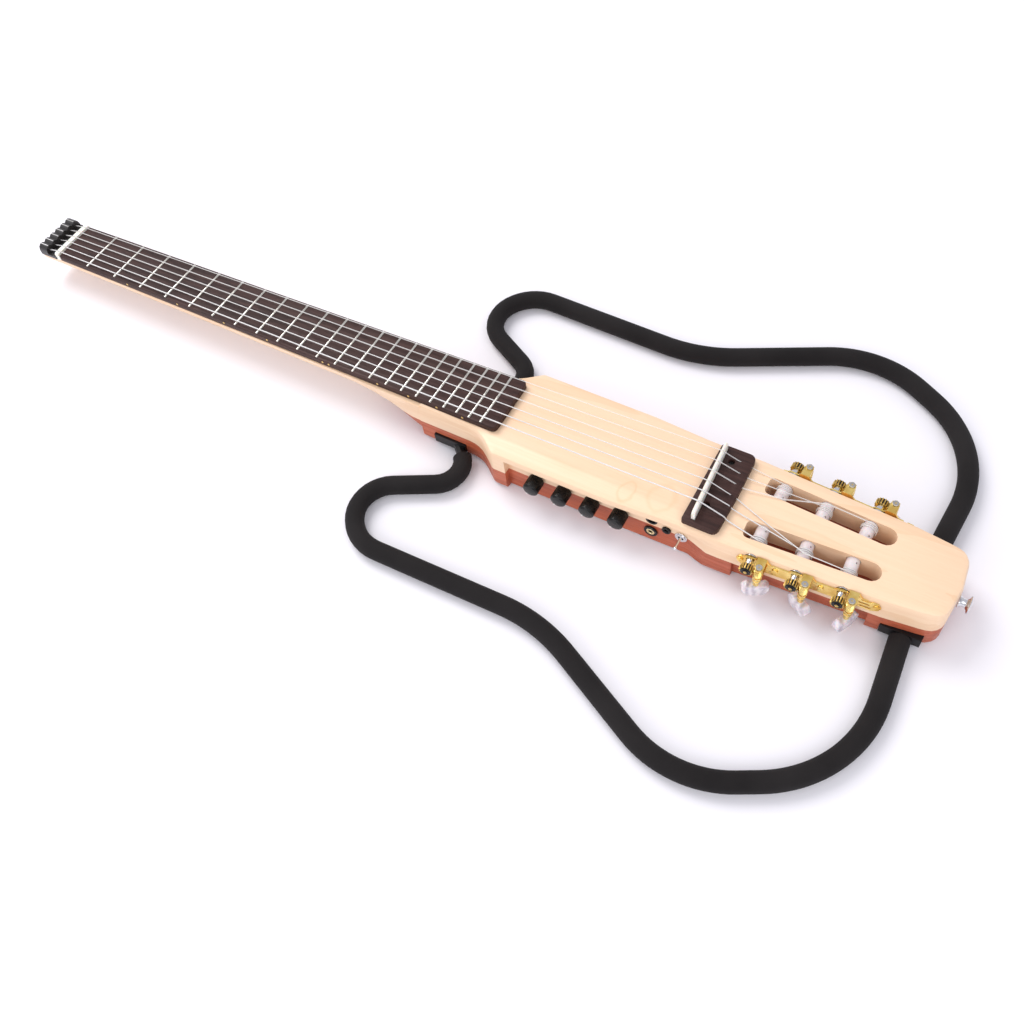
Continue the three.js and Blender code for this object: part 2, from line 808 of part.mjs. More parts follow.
// nut with its string slots
const toNeck = (geometry) => geometry.applyMatrix4(neckTurn.clone().invert());
const nutRear = nutX - seatGap;
const nutHalf = nutEndWidth * half + seatGap;
const nutRound = 1.2;
const nutBlank = slab([
  [-nutHalf, seatGap], [nutHalf, seatGap], [nutHalf, fretPlane + nutRise - nutRound],
  [nutHalf - nutRound, fretPlane + nutRise], [nutRound - nutHalf, fretPlane + nutRise],
  [-nutHalf, fretPlane + nutRise - nutRound],
].map(([y, z]) => new THREE.Vector2(y, z)), 0, nutThickness, 0);
nutBlank.rotateX(Math.PI * half).rotateZ(Math.PI * half).translate(nutRear - nutThickness, 0, 0);
const stringNumbers = stringDiameters.map((diameter, index) => index);
const nutSlots = stringNumbers.map((index) => {
  const passing = stringClearance(index, neckPointCount - 3, neckPointCount + 1);
  return toNeck(passing);
});
addMesh(neckGroup, 'nut', cut(nutBlank, ...nutSlots), bone);

// string anchor: a bar with a lobe for each string on a thin base
const lobePitch = nutStringSpread / (stringCount - 1);
const barFront = nutX - anchorBarFront;
const barBack = barFront - anchorBarLength;
const lobeSteps = 3;
const barTop = [];
for (let step = 0; step <= stringCount * lobeSteps; step += 1) {
  const y = (step / lobeSteps - stringCount * half) * lobePitch;
  const lobe = Math.abs(Math.sin((step / lobeSteps) * Math.PI)) ** half;
  barTop.push(new THREE.Vector2(y, anchorBarHeight - anchorLobeDepth + lobe * anchorLobeDepth * 2));
}
const barOutline = [
  new THREE.Vector2(-anchorWidth * half, seatGap), new THREE.Vector2(-anchorWidth * half, anchorHoleHeight),
  ...barTop,
  new THREE.Vector2(anchorWidth * half, anchorHoleHeight), new THREE.Vector2(anchorWidth * half, seatGap),
].reverse();
const anchorBar = slab(barOutline, 0, anchorBarLength, 0);
anchorBar.rotateX(Math.PI * half).rotateZ(Math.PI * half).translate(barBack, 0, 0);
const nutBack = nutRear - nutThickness - seatGap;
const anchorBase = box(barBack, nutBack, -anchorWidth * half, anchorWidth * half, seatGap, anchorBaseHeight);
const anchorCuts = stringNumbers.map((index) => toNeck(stringClearance(index, 0, neckPointCount)));
addMesh(neckGroup, 'string_anchor_bar', cut(fuse(anchorBase, anchorBar), ...anchorCuts), ebony);

// strings
stringLines.forEach((line, index) => {
  const name = `string_${index + 1}`;
  addMesh(bodyGroup, name, bar(line, stringDiameters[index] * half, stringSides), nylon);
});

// bridge with its saddle slot and string channels, the saddle and the pickup strip below it
const bridgeEdge = 0.8;
const bridgeLine = roundedLine([
  { x: bridgeFront, y: -bridgeHalfWidth, bend: bridgeFrontRadius },
  { x: bridgeRear - bridgeEdge, y: -bridgeHalfWidth, bend: bridgeRearRadius },
  { x: bridgeRear, y: 0, bend: 0 },
  { x: bridgeRear - bridgeEdge, y: bridgeHalfWidth, bend: bridgeRearRadius },
  { x: bridgeFront, y: bridgeHalfWidth, bend: bridgeFrontRadius },
], curveSteps);
const bridgeBlank = common(
  slab(bridgeLine, -overrun, bridgeThickness, bridgeEdge), box(-far, far, -far, far, 0, far),
);
const saddleTurn = Math.atan(saddleSlope);
const saddleFloor = bridgeThickness - saddleDepth;
const besideSaddle = (geometry) => geometry.rotateZ(saddleTurn).translate(saddleX, 0, 0);
const saddleBox = (grow, low, high) => besideSaddle(box(
  -saddleThickness * half - grow, saddleThickness * half + grow,
  -saddleHalfLength - grow, saddleHalfLength + grow, low, high,
));
const bridgeCuts = stringNumbers.map((index) => stringClearance(index, neckPointCount, neckPointCount + 3));
addMesh(bodyGroup, 'bridge', cut(
  bridgeBlank, saddleBox(seatGap, saddleFloor - pickupHeight, overrun + saddleTop), ...bridgeCuts,
), rosewood);
addMesh(bodyGroup, 'pickup_strip', saddleBox(0, saddleFloor - pickupHeight, saddleFloor), coverPlastic);
const saddleRound = 1.2;
const saddleSection = [
  [-saddleThickness * half, saddleFloor], [saddleThickness * half, saddleFloor],
  [saddleThickness * half, saddleTop - saddleRound], [saddleThickness * half * half * half, saddleTop],
  [-saddleThickness * half * half, saddleTop], [-saddleThickness * half, saddleTop - saddleRound],
];
const saddleEnds = [
  [-saddleHalfLength, saddleRound * 2],
  [saddleRound - saddleHalfLength, saddleRound * half],
  [saddleRound * 3 - saddleHalfLength, 0],
  [saddleHalfLength - saddleRound * 3, 0],
  [saddleHalfLength - saddleRound, saddleRound * half],
  [saddleHalfLength, saddleRound * 2],
];
const saddleSkin = skin(saddleEnds.map(([y, drop]) => saddleSection.map(([x, z]) => {
  const lowered = z > bridgeThickness ? z - drop : z;
  return new THREE.Vector3(x, y, lowered);
})));
addMesh(bodyGroup, 'saddle', besideSaddle(saddleSkin), bone);

// machine heads: an engraved plate a side, with lugs that hold the worms, and toothed wheels on the rollers
const plateOut = seatGap + plateThickness;
const wormGap = 0.3;
const lugTop = rollerHeight + threadLength * half + wormGap + lugThickness;
const lugBottom = rollerHeight - threadLength * half - wormGap - lugThickness;
const plateTop = plateCentre + plateHeight * half;
const plateBottom = plateCentre - plateHeight * half;
const screwU = [
  plateStart + plateHeight * half * half,
  ...stations.slice(1).map((station) => stationU(station) - stationPitch * half + plateWaist),
  plateEnd - plateHeight * half * half,
];

function plateOutline() {
  const line = [new THREE.Vector2(plateStart, plateCentre)];
  line.push(new THREE.Vector2(plateStart + plateWaist, plateTop - plateWaist));
  line.push(new THREE.Vector2(plateStart + plateWaist * 2, plateTop - plateBoss));
  stations.forEach((station) => {
    const u = stationU(station);
    const lug = u + wormDistance;
    line.push(new THREE.Vector2(u - rollerRadius, plateTop - plateBoss));
    line.push(new THREE.Vector2(u - rollerRadius + plateBoss, plateTop));
    line.push(new THREE.Vector2(lug - lugWidth * half - plateBoss, plateTop));
    line.push(new THREE.Vector2(lug - lugWidth * half, lugTop));
    line.push(new THREE.Vector2(lug + lugWidth * half, lugTop));
    line.push(new THREE.Vector2(lug + lugWidth * half + plateBoss, plateTop));
    line.push(new THREE.Vector2(lug + lugWidth * half + plateBoss * 2, plateTop - plateBoss));
  });
  line.push(new THREE.Vector2(plateEnd - plateWaist, plateTop - plateWaist));
  line.push(new THREE.Vector2(plateEnd, plateCentre));
  line.push(new THREE.Vector2(plateEnd - plateWaist, plateBottom + plateWaist));
  line.push(new THREE.Vector2(plateEnd - plateWaist * 3, plateBottom));
  line.push(new THREE.Vector2(plateStart + plateWaist * 3, plateBottom));
  line.push(new THREE.Vector2(plateStart + plateWaist, plateBottom + plateWaist));
  return line.reverse();
}

const outward = (side, from, to) => [side * from, side * to].sort((a, b) => a - b);

function tunerPlate(side) {
  const shaftHole = wormShaftRadius + seatGap;
  const sheet = slab(plateOutline(), 0, plateThickness, 0);
  sheet.rotateX(Math.PI * half);
  sheet.translate(0, side > 0 ? plateOut : -seatGap, 0);
  const parts = stations.flatMap((station) => {
    const lug = stationU(station) + wormDistance;
    return [[lugTop - lugThickness, lugTop], [lugBottom, lugBottom + lugThickness]].flatMap(([low, high]) => [
      box(lug - lugWidth * half, lug + lugWidth * half, ...outward(side, seatGap, gearOffset), low, high),
      post(lugWidth * half, lug, side * gearOffset, low, high, smallSides),
    ]);
  });
  const screwReach = outward(side, seatGap, plateOut + screwHeadHeight);
  const screws = screwU.map((u) => pin(screwHeadRadius, u, plateCentre, ...screwReach, smallSides));
  const holes = stations.flatMap((station) => {
    const u = stationU(station);
    return [
      pin(gearHubRadius + seatGap, u, rollerHeight, -overrun, overrun, smallSides),
      post(shaftHole, u + wormDistance, side * gearOffset, lugBottom - overrun, lugTop + overrun, smallSides),
    ];
  });
  return cut(fuse(sheet, ...parts, ...screws), ...holes);
}

// roller across the slot, with a shaft out to its wheel
function roller() {
  const inner = -(slotWall + slotWidth + rollerBlind - runningGap);
  const shaftEnd = gearOffset - gearThickness * half - seatGap;
  const neck = gearHubRadius - seatGap;
  return turned([
    [0, inner], [rollerRadius, inner],
    [rollerRadius, -seatGap], [neck, -seatGap], [neck, shaftEnd], [0, shaftEnd],
  ]);
}

// wheel with straight teeth; one tooth points at the worm at rest
function gear() {
  const line = [];
  const toothShares = [-0.34, -0.15, 0.15, 0.34];
  for (let tooth = 0; tooth < gearTeeth; tooth += 1) {
    toothShares.forEach((share, corner) => {
      const angle = ((tooth + share) / gearTeeth) * Math.PI * 2;
      const radius = corner === 0 || corner === toothShares.length - 1 ? gearRadius - toothDepth : gearRadius;
      line.push(new THREE.Vector2(radius * Math.cos(angle), radius * Math.sin(angle)));
    });
  }
  const wheel = slab(line, gearOffset - gearThickness * half, gearOffset + gearThickness * half, 0);
  const capTop = gearOffset + gearThickness * half + plateThickness;
  const cap = post(gearHubRadius * half, 0, 0, gearOffset, capTop, smallSides);
  return fuse(wheel, cap);
}

// worm with its shaft, the collars below it and the shank that holds the button
function worm() {
  const threadPitch = ((gearRadius - toothDepth * half) * Math.PI * 2) / gearTeeth;
  const rings = [];
  const ring = (radiusAt, z) => {
    const points = [];
    for (let side = 0; side < wormSides; side += 1) {
      const angle = (side / wormSides) * Math.PI * 2;
      const radius = radiusAt(angle);
      points.push(new THREE.Vector3(radius * Math.cos(angle), radius * Math.sin(angle), z));
    }
    rings.push(points);
  };
  const plain = (radius) => () => radius;
  const shank = (radius, ...heights) => heights.forEach((z) => ring(plain(radius), z));
  const bottom = -threadLength * half;
  const collarTop = lugBottom - rollerHeight - wormGap;
  const collarSize = 1.4;
  const buttonTop = buttonCentre + buttonHeight * half - rollerHeight;
  shank(buttonShaftRadius, buttonTop + seatGap, collarTop - collarSize * 2);
  shank(collarRadius, collarTop - collarSize * 2, collarTop - collarSize);
  shank(buttonShaftRadius, collarTop - collarSize, collarTop - collarSize * half);
  shank(collarRadius, collarTop - collarSize * half, collarTop);
  shank(wormShaftRadius, collarTop, bottom - wormGap * half);
  const samples = Math.round((threadLength / threadPitch) * threadSamples);
  for (let sample = 0; sample <= samples; sample += 1) {
    const z = bottom + (threadLength * sample) / samples;
    const wave = (angle) => Math.cos((z / threadPitch) * Math.PI * 2 - angle) * half + half;
    ring((angle) => wormRadius + threadDepth * wave(angle), z);
  }
  shank(wormShaftRadius, threadLength * half + wormGap * half, lugTop - rollerHeight + wormEndHeight);
  return skin(rings);
}

// flat oval button, thicker in its middle
function button() {
  const outline = [];
  const outlineSteps = 12;
  const bevel = buttonThickness * half * half;
  for (let step = 0; step < outlineSteps; step += 1) {
    const angle = (step / outlineSteps) * Math.PI * 2;
    const fullness = 0.8;
    const x = Math.sign(Math.cos(angle)) * Math.abs(Math.cos(angle)) ** fullness;
    const y = Math.sign(Math.sin(angle)) * Math.abs(Math.sin(angle)) ** fullness;
    outline.push(new THREE.Vector2(x * buttonWidth * half, y * buttonHeight * half));
  }
  const shape = new THREE.Shape(outline);
  const geometry = new THREE.ExtrudeGeometry(shape, {
    depth: buttonThickness - bevel - bevel,
    bevelThickness: bevel,
    bevelSize: bevel,
    bevelOffset: -bevel,
    bevelSegments: 1,
  });
  geometry.translate(0, 0, bevel - buttonThickness * half).rotateX(Math.PI * half);
  return geometry;
}

const sideNames = { '-1': 'bass', 1: 'treble' };
sides.forEach((side) => {
  const group = facetGroup(side);
  const sideName = sideNames[side];
  addMesh(group, `tuner_plate_${sideName}`, tunerPlate(side), gold);
  stations.forEach((station) => {
    const tag = `${sideName}_${station + 1}`;
    const axle = addMesh(group, `string_roller_${tag}`, lie(roller(), side), rollerPlastic);
    axle.position.set(stationU(station), 0, rollerHeight);
    const wheel = addMesh(group, `gear_wheel_${tag}`, lie(gear(), side), darkGear);
    wheel.position.copy(axle.position);
    const screw = addMesh(group, `worm_${tag}`, worm(), gold);
    screw.position.set(stationU(station) + wormDistance, side * gearOffset, rollerHeight);
    const grip = addMesh(group, `tuner_button_${tag}`, button(), pearl);
    const number = station + (side > 0 ? stationCount : 0);
    grip.position.set(screw.position.x, screw.position.y, buttonCentre);
    grip.rotation.z = THREE.MathUtils.degToRad(buttonTurns[number]);
  });
});

// volume and tone knobs, each with a white pointer notch in its rim
knobPlaces.forEach((x, n) => {
  const wall = cavityWall(x);
  const capY = wall - seatGap - knobLength - ringStand;
  const profile = [
    [0, knobLength], [knobRadius, knobLength], [knobRadius, knobBevel], [knobRadius - knobBevel, 0], [0, 0],
  ].reverse();
  const knob = turned(profile);
  const bore = post(potShaftRadius + seatGap, 0, 0, knobLength * half, knobLength + overrun);
  const pointer = box(
    -knobPointerWidth * half, knobPointerWidth * half, knobRadius * half, knobRadius + overrun,
    -overrun, knobPointerDepth,
  );
  const mesh = addMesh(bodyGroup, `knob_${n + 1}`, lie(cut(knob, bore, pointer), 1), blackPlastic);
  mesh.position.set(x, capY, knobHeight);
});

// preamp board behind the scoop wall, with its four pots
const potBack = cavityBassSide + seatGap + potDepth;
const boardX0 = cavityStart + cavityCorner;
const boardX1 = knobPlaces.at(-1) + potSize;
const boardZ1 = knobHeight + potSize;
const potHalf = potSize * half;
const boardFront = potBack - seatGap;
const boardFloor = boardZ1 - boardPlateHeight * half;
const boardPlate = box(boardX0, boardX1, boardFront, potBack + boardPlateThickness, boardFloor, boardZ1);
const pots = knobPlaces.flatMap((x) => {
  const knobTop = cavityWall(x) - seatGap - ringStand;
  const wallFace = cavityWall(x) - ringStand + seatGap;
  return [
    box(x - potHalf, x + potHalf, cavityBassSide + seatGap, potBack, knobHeight - potHalf, knobHeight + potHalf),
    pin(bushingRadius, x, knobHeight, wallFace, potBack, smallSides),
    pin(potShaftRadius, x, knobHeight, knobTop - knobLength * half + seatGap * 2, potBack, smallSides),
  ];
});
addMesh(bodyGroup, 'preamp_board', fuse(boardPlate, ...pots), board);

// sockets and switch in the scoop wall: a ring outside, a barrel through the wall and a body inside
function wallFitting(x, z, ringRadius, bore, depth, name, material) {
  const face = cavityWall(x) - ringStand - seatGap;
  const wallEnd = cavityBassSide + seatGap - face;
  const barrel = ringRadius * barrelShare;
  const profile = [
    [bore, 0], [ringRadius, 0], [ringRadius, ringStand], [barrel, ringStand],
    [barrel, wallEnd], [ringRadius, wallEnd], [ringRadius, depth],
    [0, depth], [0, depth - ringStand], [bore, depth - ringStand],
  ];
  const geometry = turned([...profile, profile[0]], fittingSides);
  const mesh = addMesh(bodyGroup, name, lie(geometry, 1), material);
  mesh.position.set(x, face, z);
}
wallFitting(
  headphoneX, headphoneHeight, headphoneRingRadius, jackBoreRadius, jackDepth, 'headphone_jack', blackPlastic,
);
wallFitting(auxX, auxHeight, auxRingRadius, jackBoreRadius, jackDepth, 'aux_jack', blackPlastic);
const outputDepth = jackDepth * 2 - ringStand * 2;
wallFitting(outputX, outputHeight, outputRadius, outputBoreRadius, outputDepth, 'output_jack', chrome);
wallFitting(toggleX, toggleHeight, toggleNutRadius, toggleThroat, jackDepth, 'toggle_switch', chrome);

const toggleFace = cavityWall(toggleX) - ringStand - seatGap;
const pivotDepth = ringStand + seatGap;
const pivotRadius = toggleThroat - runningGap;
const pivotHalf = pivotRadius * half * half;
const lever = turned([
  [0, -toggleLeverLength - toggleBallRadius], [toggleBallRadius, -toggleLeverLength],
  [toggleBallRadius, toggleBallRadius - toggleLeverLength],
  [toggleLeverRadius, toggleBallRadius * 2 - toggleLeverLength],
  [toggleLeverRadius, pivotDepth - pivotRadius * barrelShare], [pivotRadius, pivotDepth - pivotHalf],
  [pivotRadius, pivotDepth + pivotHalf], [toggleLeverRadius, pivotDepth + pivotRadius * barrelShare],
  [0, pivotDepth + pivotRadius * barrelShare],
], smallSides);
const leverMesh = addMesh(bodyGroup, 'toggle_lever', lie(lever, 1), chrome);
leverMesh.position.set(toggleX, toggleFace, toggleHeight);

// battery box and the cover that closes the cavity, let in flush
const coverTop = underside + coverThickness;
const cover = slab(cavityOutline(coverRim - seatGap), underside, coverTop, 0);
addMesh(bodyGroup, 'control_cover', cover, coverPlastic);
const batteryY1 = cavityTrebleSide - seatGap;
const batteryZ0 = coverTop;
addMesh(bodyGroup, 'battery', box(
  batteryX, batteryX + batteryLength, batteryY1 - batteryWidth, batteryY1, batteryZ0, batteryZ0 + batteryHeight,
), coverPlastic);

// side frames: a bent aluminium tube between two flat tongues, with a foam grip along it
function trimmed(line, startCut, endCut) {
  const along = [0];
  line.slice(1).forEach((point, i) => along.push(along[i] + point.distanceTo(line[i])));
  const total = along.at(-1);
  const at = (distance) => {
    const found = along.findIndex((value) => value > distance);
    const i = found < 0 ? line.length - 1 : Math.max(found, 1);
    const share = (distance - along[i - 1]) / (along[i] - along[i - 1]);
    return line[i - 1].clone().lerp(line[i], share);
  };
  const margin = 1;
  const kept = line.filter((point, i) => along[i] > startCut + margin && along[i] < total - endCut - margin);
  return [at(startCut), ...kept, at(total - endCut)];
}

const pathLine = roundedLine(framePath, pathSteps);
const frameLine = (side, startCut, endCut) => trimmed(pathLine, startCut, endCut)
  .map((point) => new THREE.Vector3(point.x, side * point.y, frameHeight));
const tongueTop = underside + channelDepth - seatGap;
const tongueBottom = underside + clampPlateThickness + seatGap * 2;
const tongue = (side, x, reach) => box(
  x - tongueWidth * half, x + tongueWidth * half,
  ...[tongueInner, reach].map((y) => side * y).sort((a, b) => a - b), tongueBottom, tongueTop,
);
sides.forEach((side) => {
  const sideName = sideNames[side];
  const frameTube = bar(frameLine(side, -tubeRoot, -tubeRoot), tubeDiameter * half, foamBoreSides);
  addMesh(bodyGroup, `side_frame_${sideName}`, fuse(
    frameTube, tongue(side, heelChannelX, heelTongueEnd), tongue(side, tailChannelX, tailTongueEnd),
  ), steel);
  const gripRadius = (foamDiameter * half) / Math.cos(Math.PI / foamSides);
  const grip = bar(frameLine(side, foamHeelStart, foamTailStart), gripRadius, foamSides, half);
  const boreLine = frameLine(side, foamHeelStart - overrun, foamTailStart - overrun);
  const inside = bar(boreLine, foamBore * half, foamBoreSides);
  addMesh(bodyGroup, `foam_grip_${sideName}`, cut(grip, inside), foam);
});

// clamp plates that hold the tongues in their channels, let in flush and screwed to the back
const clampNames = [['clamp_plate_heel', heelChannelX], ['clamp_plate_tail', tailChannelX]];
clampNames.forEach(([name, x]) => {
  addMesh(bodyGroup, name, box(
    x - clampWidth * half, x + clampWidth * half, -clampPlateWidth * half, clampPlateWidth * half,
    underside, underside + clampPlateThickness,
  ), steel);
});

// strap button on the tail end
const strap = turned([
  [0, 0], [strapNeckRadius + strapNeckRadius * half, 0], [strapNeckRadius, strapNeckRadius * half],
  [strapNeckRadius, strapLength - strapNeckRadius], [strapHeadRadius, strapLength - strapNeckRadius * half],
  [strapHeadRadius * barrelShare, strapLength], [0, strapLength],
]);
strap.rotateY(Math.PI * half);
const strapMesh = addMesh(bodyGroup, 'strap_button', strap, chrome);
strapMesh.position.set(tailX + seatGap, 0, strapHeight);

// the part stands on its side frames, centred over the origin
guitar.updateMatrixWorld(true);
const bounds = new THREE.Box3().setFromObject(guitar, true);
const middle = bounds.getCenter(new THREE.Vector3());
bodyGroup.position.set(-middle.x, -middle.y, -bounds.min.z);
guitar.updateMatrixWorld(true);

export default guitar;
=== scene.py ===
# A slim travel guitar with nylon strings: one narrow body, its tuners in the tail, two curved side frames.
# x runs along the strings towards the tail, y towards the treble side, z up from the table. Metres.
import bpy
import json
import math
from mathutils import Matrix, Vector, kdtree

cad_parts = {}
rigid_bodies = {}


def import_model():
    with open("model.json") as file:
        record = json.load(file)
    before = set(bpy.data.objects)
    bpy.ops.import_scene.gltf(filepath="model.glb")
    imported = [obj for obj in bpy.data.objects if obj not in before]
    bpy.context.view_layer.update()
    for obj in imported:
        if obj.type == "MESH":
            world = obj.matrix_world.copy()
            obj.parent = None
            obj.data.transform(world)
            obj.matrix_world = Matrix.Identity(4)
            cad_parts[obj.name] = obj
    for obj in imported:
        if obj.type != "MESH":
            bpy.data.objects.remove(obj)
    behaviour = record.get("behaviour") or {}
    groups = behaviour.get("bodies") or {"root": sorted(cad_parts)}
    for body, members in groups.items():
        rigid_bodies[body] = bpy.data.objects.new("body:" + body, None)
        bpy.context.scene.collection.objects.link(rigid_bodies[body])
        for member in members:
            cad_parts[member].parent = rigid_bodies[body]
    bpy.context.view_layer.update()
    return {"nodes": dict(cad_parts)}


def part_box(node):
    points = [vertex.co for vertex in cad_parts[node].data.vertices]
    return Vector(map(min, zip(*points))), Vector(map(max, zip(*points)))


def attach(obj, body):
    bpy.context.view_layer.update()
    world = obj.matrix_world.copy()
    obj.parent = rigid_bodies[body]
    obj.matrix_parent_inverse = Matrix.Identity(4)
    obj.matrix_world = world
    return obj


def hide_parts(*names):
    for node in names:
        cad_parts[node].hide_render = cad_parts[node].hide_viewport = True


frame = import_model()
nodes = frame["nodes"]


# Camera
# A view from above and behind the tail, down onto the table, as a shop would photograph it.
# The body point is where the fingerboard ends, on the face of the top.
def placed(name, data):
    """A new object in the scene."""
    made = bpy.data.objects.new(name, data)
    bpy.context.scene.collection.objects.link(made)
    return made


neck_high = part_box("maple_neck_body")[1]
body_point = Vector((neck_high.x - 0.3545, 0.0, neck_high.z))
camera_place = body_point + Vector((0.3108337, -0.4223550, 0.6518219))
camera_right = Vector((0.86442077, 0.49427113, -0.09204772))
camera_down = Vector((0.37306002, -0.75330384, -0.54162675))
camera_ahead = Vector((-0.33705037, 0.43385409, -0.83556429))

camera_data = bpy.data.cameras.new("camera")
camera_data.sensor_fit = "HORIZONTAL"
camera_data.sensor_width = 36.0
camera_data.lens = 37.054
camera_data.clip_start = 0.01
camera_data.clip_end = 50.0
camera = placed("camera", camera_data)
turn = Matrix((camera_right, -camera_down, -camera_ahead)).transposed()
camera.matrix_world = Matrix.Translation(camera_place) @ turn.to_4x4()
bpy.context.scene.camera = camera
bpy.context.scene.view_settings.view_transform = "Standard"


# Table and lamps
# A white table under a large soft box, a weaker one at the tail and pale light all round,
# so that shadows stay faint, wide and a little violet.
def add_node(tree, kind, **values):
    """A node with its settings and socket values; a name with a capital letter is a socket."""
    node = tree.nodes.new(kind)
    for key, value in values.items():
        if key[0].isupper():
            node.inputs[key.replace("_", " ")].default_value = value
        else:
            setattr(node, key, value)
    return node


def shader(finish):
    """The one shader of a material."""
    return finish.node_tree.nodes["Principled BSDF"]


def finish_named(name, colour, roughness, metallic=0.0, **more):
    """A new material with its shader's plain values; further sockets are given by name."""
    made = bpy.data.materials.new(name)
    made.use_nodes = True
    values = {"Base Color": (*colour, 1.0), "Roughness": roughness, "Metallic": metallic}
    values.update((key.replace("_", " "), value) for key, value in more.items())
    for key, value in values.items():
        shader(made).inputs[key].default_value = value
    return made


def pattern_on(finish, kind, stretch=None, **values):
    """Lays a noise, wave or cell pattern on a piece's own coordinates and gives its strength."""
    tree = finish.node_tree
    pattern = add_node(tree, f"ShaderNodeTex{kind}", **values)
    spot = add_node(tree, "ShaderNodeTexCoord").outputs["Object"]
    if stretch:
        stretched = add_node(tree, "ShaderNodeMapping", Scale=stretch)
        tree.links.new(spot, stretched.inputs["Vector"])
        spot = stretched.outputs["Vector"]
    tree.links.new(spot, pattern.inputs["Vector"])
    return pattern.outputs["Distance" if kind == "Voronoi" else "Fac"]


def colour_by(finish, strength, low, high, ends=(0.0, 1.0)):
    """Lets a pattern move the colour between two tones, reached at the two ends of its strength."""
    tree = finish.node_tree
    ramp = add_node(tree, "ShaderNodeValToRGB")
    for element, position, colour in zip(ramp.color_ramp.elements, ends, (low, high)):
        element.position = position
        element.color = (*colour, 1.0)
    tree.links.new(strength, ramp.inputs["Fac"])
    tree.links.new(ramp.outputs["Color"], shader(finish).inputs["Base Color"])


def value_by(finish, strength, low, high, entry="Roughness"):
    """Lets a pattern move the roughness, or another value of the shader, between two ends."""
    tree = finish.node_tree
    spread = add_node(tree, "ShaderNodeMapRange", To_Min=low, To_Max=high)
    tree.links.new(strength, spread.inputs["Value"])
    tree.links.new(spread.outputs["Result"], shader(finish).inputs[entry])


def relief_by(finish, height, amount, depth):
    """Lets a pattern raise the surface a little."""
    tree = finish.node_tree
    bump = add_node(tree, "ShaderNodeBump", Strength=amount, Distance=depth)
    tree.links.new(height, bump.inputs["Height"])
    tree.links.new(bump.outputs["Normal"], shader(finish).inputs["Normal"])


for thing in bpy.data.objects:
    thing.select_set(False)
bpy.ops.mesh.primitive_plane_add(size=14.0, location=(0.0, 0.0, 0.0))
table = bpy.context.object
table.name = "table_top"
bpy.ops.object.mode_set(mode="EDIT")
bpy.ops.mesh.subdivide(number_cuts=3)
bpy.ops.object.mode_set(mode="OBJECT")
paper = finish_named("white_paper", (0.90, 0.88, 0.92), 0.9, Specular_IOR_Level=0.2)
colour_by(paper, pattern_on(paper, "Noise", Scale=1.5, Detail=2.0), (0.88, 0.86, 0.90), (0.91, 0.90, 0.93))
table.data.materials.append(paper)

lit_spot = Vector((0.05, 0.0, 0.0))
for name, where, size, power, colour in (
        ("soft_box_main", (-1.3, 0.5, 1.9), 1.3, 32.0, (1.0, 0.985, 0.97)),
        ("soft_box_tail", (1.5, -0.9, 1.6), 1.4, 10.0, (0.97, 0.98, 1.0)),
        ("soft_box_near", (-0.2, -1.9, 1.0), 1.6, 14.0, (1.0, 0.99, 0.98))):
    lamp = bpy.data.lights.new(name, "AREA")
    lamp.shape = "SQUARE"
    lamp.size = size
    lamp.energy = power
    lamp.color = colour
    box = placed(name, lamp)
    box.location = where
    box.rotation_euler = (lit_spot - Vector(where)).to_track_quat("-Z", "Y").to_euler()

surround = bpy.data.worlds.new("surround")
surround.use_nodes = True
glow = surround.node_tree.nodes["Background"]
glow.inputs["Color"].default_value = (0.93, 0.93, 1.0, 1.0)
glow.inputs["Strength"].default_value = 0.71
bpy.context.scene.world = surround


# Mahogany back
# The lower half of the body, red-brown mahogany with open pores. It is glued under the maple,
# carries the heel, the scooped control wall and the channels that hold the side frames.
def clear_hand():
    """Leaves edit mode and drops the selection."""
    if bpy.context.object and bpy.context.object.mode != "OBJECT":
        bpy.ops.object.mode_set(mode="OBJECT")
    bpy.ops.object.select_all(action="DESELECT")


def take_up(piece):
    """Makes one piece the only selected and active one."""
    clear_hand()
    piece.select_set(True)
    bpy.context.view_layer.objects.active = piece
    return piece


def fix_place(piece):
    """Puts a piece's place, turn and scale into its mesh."""
    take_up(piece)
    bpy.ops.object.transform_apply(location=True, rotation=True, scale=True)
    return piece


def settle(piece, name, finish, body, slot_name, *stands_for):
    """Names a shaped piece, puts its place into its mesh, dresses it and lets it ride on its body."""
    piece.name = name
    piece.data.name = name
    fix_place(piece)
    piece.data.materials.clear()
    piece.data.materials.append(finish)
    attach(piece, body)
    if stands_for:
        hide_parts(*stands_for)
    return piece


def solid_from(node, name, angle=35.0):
    """A welded copy of a solid with its flat faces joined, ready to be worked on."""
    piece = take_up(placed(name, nodes[node].data.copy()))
    bpy.ops.mesh.customdata_custom_splitnormals_clear()
    bpy.ops.object.mode_set(mode="EDIT")
    bpy.ops.mesh.select_all(action="SELECT")
    bpy.ops.mesh.remove_doubles(threshold=0.00001)
    bpy.ops.mesh.dissolve_limited(angle_limit=math.radians(0.4))
    bpy.ops.object.mode_set(mode="OBJECT")
    bpy.ops.object.shade_smooth_by_angle(angle=math.radians(angle))
    return piece


def soften(piece, width, segments=2, angle=35.0):
    """Rounds the sharp edges of a piece by a small radius."""
    take_up(piece)
    edge = piece.modifiers.new("edge", "BEVEL")
    edge.width = width
    edge.segments = segments
    edge.limit_method = "ANGLE"
    edge.angle_limit = math.radians(angle)
    bpy.ops.object.modifier_apply(modifier="edge")
    bpy.ops.object.shade_smooth_by_angle(angle=math.radians(angle))
    return piece


